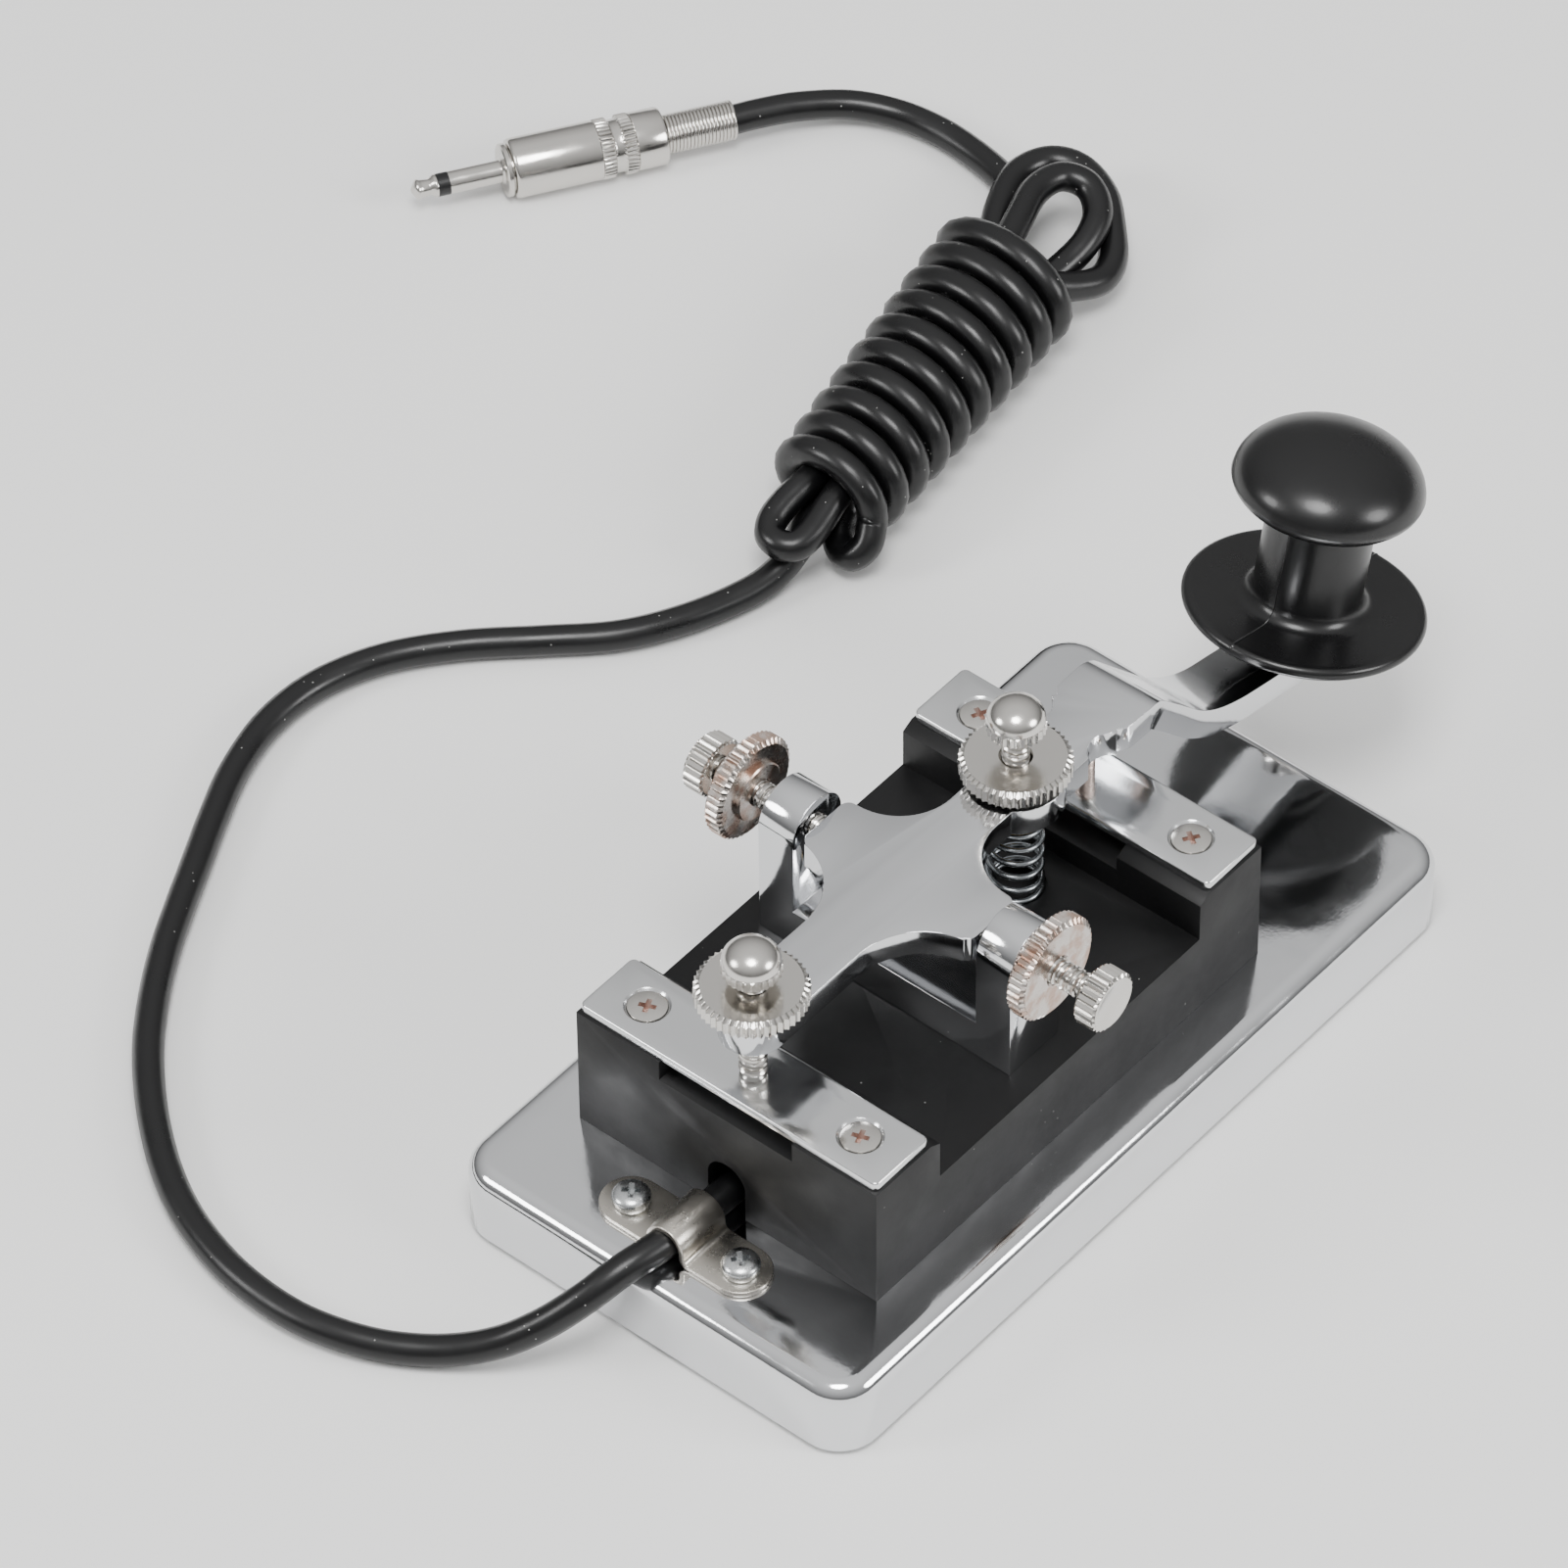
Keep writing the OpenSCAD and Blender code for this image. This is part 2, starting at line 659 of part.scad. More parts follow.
// The same line moved down by the lever's thickness, square to it
function heading(i) = unit(lever_line[min(i + 1, len(lever_line) - 1)] - lever_line[max(i - 1, 0)]);
lever_under = [for (i = [0:len(lever_line) - 1]) lever_line[i] + lever_t * [-heading(i)[1], heading(i)[0]]];

module lever() {
    color("gainsboro") difference() {
        intersection() {
            linear_extrude(lever_top + 1) polygon(mirrored(lever_half));
            translate([-arm_span, 0, 0]) rotate([90, 0, 90]) linear_extrude(2 * arm_span)
                polygon(concat(lever_line, [for (i = [len(lever_under) - 1:-1:0]) lever_under[i]]));
        }
        for (y = [gap_y, tension_y]) translate([0, y, lever_bottom - 1])
            cylinder(d = stud_d + 2 * run, h = lever_t + 2);
        translate([0, contact_y, lever_bottom - 1]) cylinder(d = rivet_d + 2 * snug, h = lever_t + 2);
        for (side = [-1, 1]) on_pivot(side) translate([0, 0, arm_span / 2 - cone_l * 0.8 - run])
            cylinder(d1 = 0.4 + 2 * run, d2 = stud_d + 2 * run, h = cone_l);
        on_finger() translate([0, 0, -lever_t - 1]) cylinder(d = stud_d + 2 * snug, h = lever_t + 2);
    }
}

// Frame on the finger's top face, leaning with it
module on_finger() {
    translate([0, finger_y, finger_top(finger_y)]) rotate([knob_tilt, 0, 0]) children();
}

module lever_contact() {
    low_z = bar_z + fixed_h + contact_gap;
    color("silver") translate([0, contact_y, 0]) {
        translate([0, 0, low_z]) cylinder(d = contact_d, h = lever_bottom - low_z);
        translate([0, 0, lever_bottom]) cylinder(d = rivet_d, h = lever_t * 0.8);
    }
}

module fixed_contact() {
    color("tan") translate([0, contact_y, 0]) {
        translate([0, 0, bar_z]) cylinder(d = contact_d, h = fixed_h);
        translate([0, 0, wall_z - rivet_tail]) cylinder(d = rivet_d, h = rivet_tail + bar_t);
    }
}

// ---- Knob ----

module knob() {
    r = cap_d / 2;
    line = hub_h + skirt_t + cap_line_h;
    neck = neck_d / 2;
    profile = concat(
        [[0, 0], [hub_d / 2, 0], [hub_d / 2, hub_h], [skirt_d / 2 - 0.5, hub_h]],
        arc(skirt_d / 2 - skirt_t / 2, hub_h + skirt_t / 2, skirt_t / 2, -60, 60, 6),
        [[neck + knob_fillet + 1, hub_h + skirt_t]],
        arc(neck + knob_fillet + 0.4, hub_h + skirt_t + knob_fillet, knob_fillet, -90, -180, 5),
        [[neck, line - 6.2]],
        [for (a = [-60:10:0]) [r * cos(a), line + 5 * sin(a)]],
        [for (a = [10:10:90]) [r * cos(a), line + cap_dome_h * sin(a)]]
    );
    color("#202022") on_finger() difference() {
        rotate_extrude() polygon(profile);
        translate([0, 0, -1]) cylinder(d = insert_d + 2 * snug, h = insert_l + 1 + snug);
    }
}

module knob_insert() {
    color("goldenrod") on_finger() difference() {
        cylinder(d = insert_d, h = insert_l);
        translate([0, 0, -1]) cylinder(d = stud_d + 2 * snug, h = insert_l);
    }
}

module knob_screw() {
    color("silver") on_finger() translate([0, 0, -lever_t]) {
        cylinder(d = stud_d, h = lever_t + insert_l - 2);
        translate([0, 0, -1.4]) cylinder(d = 7, h = 1.4);
        translate([0, 0, -2.4]) cylinder(d1 = 4.4, d2 = 7, h = 1);
    }
}

// ---- Gap and tension screws ----

module gap_stud() {
    color("silver") translate([0, gap_y, bar_z]) {
        cylinder(d1 = stud_d - 1.2, d2 = stud_d, h = 0.6);
        translate([0, 0, 0.6]) cylinder(d = stud_d, h = gap_head_at + head_bore - bar_z - 0.65);
    }
}

module gap_head() {
    color("silver") translate([0, gap_y, gap_head_at]) dome_head(head_bore);
}

module gap_nut() {
    color("silver") translate([0, gap_y, gap_nut_at]) lock_nut();
}

module tension_stud() {
    color("silver") translate([0, tension_y, cap_top])
        cylinder(d = stud_d, h = tension_head_at + head_bore - cap_top - 0.05);
}

module tension_head() {
    color("silver") translate([0, tension_y, tension_head_at]) dome_head(head_bore);
}

module tension_nut() {
    color("silver") translate([0, tension_y, nut_at]) lock_nut();
}

module spring_cap() {
    color("goldenrod") translate([0, tension_y, spring_top]) {
        cylinder(d = spring_d - 0.4, h = cap_t);
        translate([0, 0, -1.2]) cylinder(d = spring_d - 2 * spring_wire - 0.6, h = 1.2);
    }
}

// Spring: closed rings at both ends and a rising coil between, as one swept tube
module tension_spring() {
    mean_r = (spring_d - spring_wire) / 2;
    low = spring_bottom + spring_wire / 2 + 0.05;
    high = spring_top - spring_wire / 2 - 0.05;
    steps = 12;
    coil = [for (i = [0:spring_turns * steps])
        let (a = 360 * i / steps, f = i / (spring_turns * steps))
        let (rise = max(0, min(1, (f * spring_turns - 0.8) / (spring_turns - 1.6))))
        [mean_r * cos(a), tension_y + mean_r * sin(a), low + (high - low) * (0.92 * rise + 0.08 * f)]];
    color("slategray") swept_tube(coil, spring_wire, 6);
}

// ---- Trunnion screws ----

module left_stud() {
    color("silver") trunnion_stud(-1, left_head_at + head_bore - 0.05);
}

module left_head() {
    color("silver") on_pivot(-1) translate([0, 0, left_head_at]) flat_head(head_bore);
}

module left_nut() {
    color("rosybrown") on_pivot(-1) translate([0, 0, ear_out + part_gap / 3]) lock_nut();
}

module right_stud() {
    color("silver") trunnion_stud(1, right_head_at + head_bore - 0.05);
}

module right_head() {
    color("silver") on_pivot(1) translate([0, 0, right_head_at]) flat_head(head_bore);
}

module right_nut() {
    color("rosybrown") on_pivot(1) translate([0, 0, right_nut_at]) lock_nut();
}

// ---- Clamp, leads, cord and plug ----

module cord_clamp() {
    top = cord_z + saddle_r + clamp_t;
    color("lightgray") difference() {
        union() {
            translate([clamp_x, clamp_y, base_top]) linear_extrude(clamp_t) union() {
                square([clamp_pitch, clamp_w], center = true);
                for (side = [-1, 1]) translate([side * clamp_pitch / 2, 0]) circle(clamp_foot_r);
            }
            translate([clamp_x, clamp_y - clamp_w / 2, cord_z]) rotate([-90, 0, 0])
                cylinder(r = saddle_r + clamp_t, h = clamp_w);
            translate([clamp_x - saddle_r - clamp_t, clamp_y - clamp_w / 2, base_top])
                cube([2 * (saddle_r + clamp_t), clamp_w, cord_z - base_top]);
        }
        translate([clamp_x, clamp_y - clamp_w, cord_z]) rotate([-90, 0, 0])
            cylinder(r = saddle_r, h = 2 * clamp_w);
        translate([clamp_x - saddle_r, clamp_y - clamp_w, base_top - 1])
            cube([2 * saddle_r, 2 * clamp_w, cord_z - base_top + 1]);
        translate([clamp_x, clamp_y, base_top - clamp_w / 2])
            cube([3 * clamp_w, 3 * clamp_w, clamp_w], center = true);
        at_clamp_screws() translate([0, 0, base_top - 1]) cylinder(d = m3_d + 2 * snug, h = top);
    }
}

module clamp_screws() {
    color("lightgray") at_clamp_screws() translate([0, 0, base_top + clamp_t]) pan_screw(clamp_screw_l + clamp_t);
}

module signal_lead() {
    color("firebrick") swept_tube([
        run_path[0] + [-1.1, -0.05, 0], [-3, run_path[0][1] - 5, lead_z],
        [-8, 28, lead_z], [-8, 10, lead_z], [-4, -10, lead_z], [2, front_lead_y + 3, lead_z],
        [front_lead_x, front_lead_y, lead_z + 3], [front_lead_x, front_lead_y, wall_z - pocket_h - 1],
        [front_lead_x - 0.6, front_lead_y - 0.4, wall_z - 1.4], [2.6, front_lead_y - 1.4, wall_z - 1.1],
        [1.6, front_lead_y - 2, wall_z - 1.1]
    ], lead_d, 8, [1, 0, 0]);
}

module return_lead() {
    color("ivory") swept_tube([
        run_path[0] + [0.9, -0.05, 0], [2.5, run_path[0][1] - 5, lead_z], [6, 28, lead_z], [5, 18, lead_z],
        [bracket_lead_x, pivot_y + 2, lead_z + 1], [bracket_lead_x, pivot_y, lead_z + 4],
        [bracket_lead_x, pivot_y, floor_z + 1.8]
    ], lead_d, 8, [1, 0, 0]);
}

module cord_run() {
    color("#1c1c1e") swept_tube(run_path, cord_d, 10);
}

module cord_tail() {
    color("#1c1c1e") swept_tube(tail_path, cord_d, 10);
}

module cord_hank() {
    d = hank_far - hank_near;
    heading = atan2(d[1], d[0]);
    lean = acos((hank_near_r - hank_far_r) / norm(d));
    color("#1c1c1e") linear_extrude(hank_h) polygon(concat(
        arc(hank_near[0], hank_near[1], hank_near_r, heading + lean, heading + 360 - lean, 18),
        arc(hank_far[0], hank_far[1], hank_far_r, heading - lean, heading + lean, 18)
    ));
}

// Along the plug: z runs from the strain relief's end to the tip
module on_plug() {
    translate([plug_pos[0], plug_pos[1], plug_z]) rotate([0, 0, plug_heading]) rotate([0, 90, 0]) children();
}

barrel_at = relief_l;
flange_at = barrel_at + barrel_l + 0.3;
sleeve_at = flange_at + flange_l;
insulator_at = sleeve_at + sleeve_l;
tip_at = insulator_at + insulator_l;
relief_bore = cord_d + 0.2;
inner_d = barrel_d - 2 * barrel_wall;

module plug_relief() {
    color("silver") on_plug() difference() {
        cylinder(d = relief_d, h = relief_l);
        translate([0, 0, -1]) cylinder(d = relief_bore, h = relief_l + 2);
    }
}

module plug_barrel() {
    r = barrel_d / 2;
    edge = 0.3;
    groove_at = 6.9;
    groove_l = 1.2;
    groove_d = 0.4;
    color("silver") on_plug() translate([0, 0, barrel_at]) difference() {
        rotate_extrude() polygon([
            [0, 0], [r - edge, 0], [r, edge], [r, groove_at - groove_d], [r - groove_d, groove_at],
            [r - groove_d, groove_at + groove_l], [r, groove_at + groove_l + groove_d],
            [r, barrel_l - edge], [r - edge, barrel_l], [0, barrel_l]
        ]);
        translate([0, 0, 2]) cylinder(d = inner_d, h = barrel_l);
        translate([0, 0, -1]) cylinder(d = relief_bore, h = 4);
    }
}

module plug_sleeve() {
    color("silver") on_plug() difference() {
        union() {
            translate([0, 0, flange_at - 5]) cylinder(d = inner_d - 2 * snug, h = 5.1);
            translate([0, 0, flange_at]) cylinder(d = flange_d, h = flange_l);
            translate([0, 0, sleeve_at]) cylinder(d = pin_d, h = sleeve_l);
        }
        translate([0, 0, flange_at - 6]) cylinder(d = liner_d + 2 * snug, h = sleeve_l + 10);
    }
}

module plug_insulator() {
    color("#151515") on_plug() difference() {
        union() {
            translate([0, 0, flange_at - 5]) cylinder(d = liner_d, h = sleeve_l + flange_l + 5.1);
            translate([0, 0, insulator_at]) cylinder(d = pin_d, h = insulator_l);
        }
        translate([0, 0, flange_at - 6]) cylinder(d = rod_d + 2 * snug, h = sleeve_l + 12);
    }
}

module plug_tip() {
    r = pin_d / 2;
    color("silver") on_plug() {
        translate([0, 0, tip_at]) rotate_extrude() polygon([
            [0, 0], [r, 0], [r, 0.4], [r * 0.72, 1.1], [r * 0.82, 2.6], [r * 0.95, 3], [0.3, tip_l], [0, tip_l]
        ]);
        translate([0, 0, flange_at - 8]) cylinder(d = rod_d, h = tip_at - flange_at + 8.1);
    }
}

base_casting();
base_pad();
block_screws();
contact_block();
rear_bar();
front_bar();
bar_screws();
trunnion_bracket();
bracket_screws();
fixed_contact();
signal_lead();
return_lead();
cord_clamp();
clamp_screws();
tension_spring();
lever();
knob();
knob_insert();
knob_screw();
lever_contact();
gap_stud();
gap_head();
gap_nut();
tension_stud();
tension_head();
tension_nut();
spring_cap();
left_stud();
left_head();
left_nut();
right_stud();
right_head();
right_nut();
cord_run();
cord_hank();
cord_tail();
plug_relief();
plug_barrel();
plug_sleeve();
plug_insulator();
plug_tip();
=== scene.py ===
"""Looks of a straight telegraph key: chromed base and lever, black moulded block and knob, hanked cord and plug."""
import logging
import math
from dataclasses import dataclass, field
from enum import Enum
from typing import Callable, Iterator, Sequence

import bmesh
import bpy
from mathutils import Matrix, Vector


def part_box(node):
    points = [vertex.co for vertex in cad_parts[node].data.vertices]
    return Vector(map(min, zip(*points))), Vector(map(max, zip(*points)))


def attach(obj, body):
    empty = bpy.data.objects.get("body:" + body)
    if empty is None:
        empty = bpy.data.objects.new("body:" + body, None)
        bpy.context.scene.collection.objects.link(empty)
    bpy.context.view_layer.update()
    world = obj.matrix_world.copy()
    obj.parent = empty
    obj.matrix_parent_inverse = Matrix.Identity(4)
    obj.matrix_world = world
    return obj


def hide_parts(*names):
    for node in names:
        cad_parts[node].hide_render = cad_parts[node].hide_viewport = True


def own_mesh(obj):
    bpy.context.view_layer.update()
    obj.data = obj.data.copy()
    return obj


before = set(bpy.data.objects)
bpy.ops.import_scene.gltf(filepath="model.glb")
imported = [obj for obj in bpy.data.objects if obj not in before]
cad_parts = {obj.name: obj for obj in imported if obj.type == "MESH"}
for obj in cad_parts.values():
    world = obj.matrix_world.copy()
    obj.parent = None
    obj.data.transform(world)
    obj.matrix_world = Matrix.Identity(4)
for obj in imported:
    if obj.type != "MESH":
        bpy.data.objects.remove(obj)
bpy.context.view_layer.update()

LOG = logging.getLogger("morse_key")
MM = 0.001
Point = tuple[float, ...]


# ---- Nodes and colours ----


def add_node(tree: bpy.types.NodeTree, kind: str, inputs: dict | None = None, **settings) -> bpy.types.Node:
    """Adds one node, sets its properties and fills or links its inputs.

    Args:
        tree: the tree that takes the node.
        kind: the node's type.
        inputs: socket name or index to a value, or to the output socket that feeds it.
        settings: the node's own properties.

    Returns:
        The new node.
    """
    node = tree.nodes.new(kind)
    for name, value in settings.items():
        setattr(node, name, value)
    for name, value in (inputs or {}).items():
        socket = node.inputs[name]
        if isinstance(value, bpy.types.NodeSocket):
            tree.links.new(value, socket)
        else:
            socket.default_value = value
    return node


def linear(code: str) -> tuple[float, float, float, float]:
    """Turns an sRGB hex colour such as "#C0C4C8" into linear RGBA."""
    parts = [int(code[i:i + 2], 16) / 255 for i in (1, 3, 5)]
    r, g, b = (c / 12.92 if c <= 0.04045 else ((c + 0.055) / 1.055) ** 2.4 for c in parts)
    return r, g, b, 1.0


def per_mm(size: float) -> float:
    """Gives the texture scale at which one feature of a pattern is size millimetres."""
    return 1 / (size * MM)


# ---- Finishes ----


@dataclass(frozen=True)
class Finish:
    """A real material and how its surface was made.

    Attributes:
        name: the material's name.
        colour: its sRGB colour.
        metallic: 1 for a bare or plated metal.
        roughness: the cleanest roughness of the surface.
        smudge: how much rougher its handled patches are.
        smudge_mm: size of those patches.
        ripple_mm: size of the long waves left by casting, moulding or polishing.
        ripple: height of those waves, in millimetres.
        grain_mm: size of the fine surface grain, drawn coarse enough to show.
        grain: height of that grain, in millimetres.
        dust: share of the surface that carries pale specks of dust.
        tone: second colour that shows through in worn patches, if any.
        worn: how far those patches spread, from 0 to 1.
        coat: weight of a clear gloss on top.
        ior: index of refraction of a plastic.
    """

    name: str
    colour: str
    metallic: float = 0.0
    roughness: float = 0.3
    smudge: float = 0.06
    smudge_mm: float = 9.0
    ripple_mm: float = 14.0
    ripple: float = 0.02
    grain_mm: float = 0.35
    grain: float = 0.004
    dust: float = 0.0
    tone: str | None = None
    worn: float = 0.0
    coat: float = 0.0
    ior: float = 1.5

    def material(self) -> bpy.types.Material:
        """Returns the finish as a material, built once."""
        found = bpy.data.materials.get(self.name)
        return found or self._build()

    def _build(self) -> bpy.types.Material:
        """Builds the node tree: smudged roughness, long ripples, fine grain, wear and dust."""
        made = bpy.data.materials.new(self.name)
        made.use_nodes = True
        tree = made.node_tree
        tree.nodes.clear()
        place = add_node(tree, "ShaderNodeTexCoord").outputs["Object"]
        shader = add_node(tree, "ShaderNodeBsdfPrincipled", {
            "Base Color": linear(self.colour), "Metallic": self.metallic, "Coat Weight": self.coat,
            "Coat Roughness": 0.08, "IOR": self.ior,
        })
        smudges = add_node(tree, "ShaderNodeTexNoise", {
            "Vector": place, "Scale": per_mm(self.smudge_mm), "Detail": 5.0, "Roughness": 0.6,
        })
        rough = add_node(tree, "ShaderNodeMapRange", {
            "Value": smudges.outputs[0], 1: 0.35, 2: 0.75, 3: self.roughness, 4: self.roughness + self.smudge,
        })
        rough_out, colour_out = rough.outputs[0], None
        if self.tone:
            colour_out = self._wear(tree, place)
        if self.dust:
            colour_out, rough_out = self._dust(tree, place, colour_out, rough_out)
        if colour_out:
            tree.links.new(colour_out, shader.inputs["Base Color"])
        tree.links.new(rough_out, shader.inputs["Roughness"])
        tree.links.new(self._relief(tree, place), shader.inputs["Normal"])
        add_node(tree, "ShaderNodeOutputMaterial", {"Surface": shader.outputs[0]})
        return made

    def _relief(self, tree: bpy.types.NodeTree, place: bpy.types.NodeSocket) -> bpy.types.NodeSocket:
        """Adds the long ripples and the fine grain, and returns the bent normal."""
        waves = add_node(tree, "ShaderNodeTexNoise", {"Vector": place, "Scale": per_mm(self.ripple_mm), "Detail": 1.0})
        grains = add_node(tree, "ShaderNodeTexNoise", {"Vector": place, "Scale": per_mm(self.grain_mm), "Detail": 3.0})
        long_bump = add_node(tree, "ShaderNodeBump", {
            "Height": waves.outputs[0], "Strength": 1.0, "Distance": self.ripple * MM,
        })
        fine_bump = add_node(tree, "ShaderNodeBump", {
            "Height": grains.outputs[0], "Strength": 1.0, "Distance": self.grain * MM,
            "Normal": long_bump.outputs[0],
        })
        return fine_bump.outputs[0]

    def _wear(self, tree: bpy.types.NodeTree, place: bpy.types.NodeSocket) -> bpy.types.NodeSocket:
        """Mixes the second tone in through soft patches, and returns the colour."""
        patches = add_node(tree, "ShaderNodeTexNoise", {"Vector": place, "Scale": per_mm(2.6), "Detail": 6.0})
        spread = add_node(tree, "ShaderNodeMapRange", {
            "Value": patches.outputs[0], 1: 0.62 - 0.3 * self.worn, 2: 0.78 - 0.3 * self.worn,
        })
        mix = add_node(tree, "ShaderNodeMix", {
            0: spread.outputs[0], 6: linear(self.colour), 7: linear(self.tone),
        }, data_type="RGBA")
        return mix.outputs[2]

    def _dust(
        self, tree: bpy.types.NodeTree, place: bpy.types.NodeSocket, colour: bpy.types.NodeSocket | None,
        rough: bpy.types.NodeSocket,
    ) -> tuple[bpy.types.NodeSocket, bpy.types.NodeSocket]:
        """Scatters pale specks, and returns the colour and roughness with them."""
        cells = add_node(tree, "ShaderNodeTexVoronoi", {"Vector": place, "Scale": per_mm(0.9)})
        chance = add_node(tree, "ShaderNodeMath", {0: cells.outputs["Color"], 1: 1 - self.dust}, operation="GREATER_THAN")
        dot = add_node(tree, "ShaderNodeMath", {0: cells.outputs["Distance"], 1: 0.13}, operation="LESS_THAN")
        speck = add_node(tree, "ShaderNodeMath", {0: chance.outputs[0], 1: dot.outputs[0]}, operation="MULTIPLY")
        mix = add_node(tree, "ShaderNodeMix", {
            0: speck.outputs[0], 6: colour or linear(self.colour), 7: linear("#8C8C8A"),
        }, data_type="RGBA")
        if colour:
            tree.links.new(colour, mix.inputs[6])
        dull = add_node(tree, "ShaderNodeMath", {0: speck.outputs[0], 1: 0.5, 2: rough}, operation="MULTIPLY_ADD")
        return mix.outputs[2], dull.outputs[0]


# Mirror chrome on a polished casting: nearly white, with slow waves in its reflections.
CHROME = Finish("chrome_plated_casting", "#DDDEE0", 1.0, 0.07, 0.08, 9.0, 7.0, 0.045, 0.6, 0.004)
# Chrome on flat strip: the same plate, but flatter and cleaner.
STRIP_CHROME = Finish("chrome_plated_strip", "#DFE0E1", 1.0, 0.13, 0.08, 7.0, 9.0, 0.02, 0.4, 0.003)
# Bright nickel on turned brass: a little warmer and softer than chrome.
NICKEL = Finish("bright_nickel_turned", "#D2CFCA", 1.0, 0.14, 0.12, 3.0, 5.0, 0.006, 0.25, 0.004)
# The same nickel rubbed thin, so that the copper strike beneath gives it a pink tint.
THIN_NICKEL = Finish(
    "thin_nickel_over_copper", "#CFC8C2", 1.0, 0.2, 0.14, 2.4, 5.0, 0.006, 0.25, 0.006, tone="#B9A092", worn=0.6,
)
# Copper strike in the screws' recesses, where the nickel did not reach.
COPPER = Finish("copper_strike", "#D0BAB1", 1.0, 0.36, 0.2, 0.8, 2.0, 0.006, 0.2, 0.01)
# Satin nickel on pressed strip.
SATIN_NICKEL = Finish("satin_nickel_strip", "#C9C4BB", 1.0, 0.24, 0.12, 3.5, 6.0, 0.01, 0.22, 0.006)
# Zinc on steel screws: bluish and finely mottled.
ZINC = Finish("zinc_plated_steel", "#C8CACB", 1.0, 0.2, 0.18, 0.9, 2.0, 0.008, 0.25, 0.008)
# Drawn spring wire.
SPRING_STEEL = Finish("drawn_spring_steel", "#8D9194", 1.0, 0.2, 0.12, 2.0, 4.0, 0.004, 0.2, 0.004)
# Fine silver on the moving contact and bare copper alloy on the fixed one.
SILVER = Finish("silver_contact", "#DDDBD6", 1.0, 0.18, 0.12, 1.2, 2.0, 0.004, 0.2, 0.004)
BRASS = Finish("turned_brass", "#C7A768", 1.0, 0.24, 0.12, 1.6, 3.0, 0.004, 0.2, 0.004)
COPPER_ALLOY = Finish("copper_alloy_contact", "#D8C4BA", 1.0, 0.24, 0.14, 1.2, 2.0, 0.004, 0.2, 0.004)
# Moulded phenolic block: glossy black with flow marks, and dust that shows on it.
PHENOLIC = Finish(
    "moulded_black_phenolic", "#0C0C0D", 0.0, 0.4, 0.2, 11.0, 12.0, 0.015, 0.4, 0.008, dust=0.08, ior=1.4,
)
# Knob: the same black, moulded in one piece and softened by handling.
KNOB_BLACK = Finish(
    "moulded_black_knob", "#0B0B0C", 0.0, 0.26, 0.12, 9.0, 9.0, 0.03, 0.45, 0.006, dust=0.012, coat=0.1, ior=1.48,
)
# Soft PVC jacket: black, half glossy, and it gathers dust.
PVC = Finish("soft_black_pvc", "#0C0C0D", 0.0, 0.27, 0.14, 7.0, 8.0, 0.04, 0.4, 0.008, dust=0.2, ior=1.48)
RUBBER = Finish("matt_black_rubber", "#1A1A1A", 0.0, 0.75, 0.1, 8.0, 10.0, 0.02, 0.5, 0.02, dust=0.03, ior=1.5)
RED_PVC = Finish("red_pvc_insulation", "#9C1F1B", 0.0, 0.35, 0.1, 4.0, 6.0, 0.01, 0.3, 0.004)
WHITE_PVC = Finish("white_pvc_insulation", "#E4E2DA", 0.0, 0.35, 0.1, 4.0, 6.0, 0.01, 0.3, 0.004)
NYLON = Finish("black_nylon_ring", "#0F0F10", 0.0, 0.35, 0.1, 2.0, 3.0, 0.004, 0.25, 0.004)
FLOOR = Finish("pale_paper_sweep", "#F4F4F3", 0.0, 0.7, 0.05, 60.0, 80.0, 0.0, 1.0, 0.0)


# ---- Mesh helpers, in millimetres ----


def arc(centre: Point, radius: float, start: float, end: float, steps: int) -> list[Point]:
    """Returns the points of an arc from angle start to angle end, in degrees."""
    angles = [math.radians(start + (end - start) * i / steps) for i in range(steps + 1)]
    return [(centre[0] + radius * math.cos(a), centre[1] + radius * math.sin(a)) for a in angles]


def mirrored(half: Sequence[Point]) -> list[Point]:
    """Closes an outline that is symmetric about x = 0, from its +x half."""
    far = [(-x, y) for x, y in reversed(half) if abs(x) > 1e-6]
    return list(half) + far


def smooth(points: Sequence[Point], steps: int) -> list[Vector]:
    """Runs a smooth line through points.

    Args:
        points: the points that the line passes through.
        steps: how many stretches each gap is divided into.

    Returns:
        The line's points, the given ones among them.
    """
    known = [Vector(p) for p in points]
    ends = [2 * known[0] - known[1], *known, 2 * known[-1] - known[-2]]
    line = []
    for before, here, there, after in zip(ends, ends[1:], ends[2:], ends[3:]):
        for i in range(steps):
            t = i / steps
            line.append(0.5 * (
                2 * here + (there - before) * t + (2 * before - 5 * here + 4 * there - after) * t * t
                + (3 * here - before - 3 * there + after) * t ** 3
            ))
    return [*line, known[-1]]


class Side(Enum):
    """The two ends of the pivot line."""

    LEFT = -1
    RIGHT = 1


@dataclass
class Span:
    """The room that CAD nodes take at rest, in millimetres."""

    low: Vector
    high: Vector

    @classmethod
    def of(cls, *nodes: str) -> "Span":
        """Returns the span of one or more nodes."""
        boxes = [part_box(n) for n in nodes]
        low = Vector([min(b[0][i] for b in boxes) for i in range(3)]) / MM
        high = Vector([max(b[1][i] for b in boxes) for i in range(3)]) / MM
        return cls(low, high)

    @property
    def centre(self) -> Vector:
        """The middle of the span."""
        return (self.low + self.high) / 2

    @property
    def size(self) -> Vector:
        """Its extents along x, y and z."""
        return self.high - self.low


def mesh_from(bm: bmesh.types.BMesh, name: str) -> bpy.types.Mesh:
    """Turns a bmesh into a mesh in millimetres and frees it."""
    mesh = bpy.data.meshes.new(name)
    bm.to_mesh(mesh)
    bm.free()
    return mesh


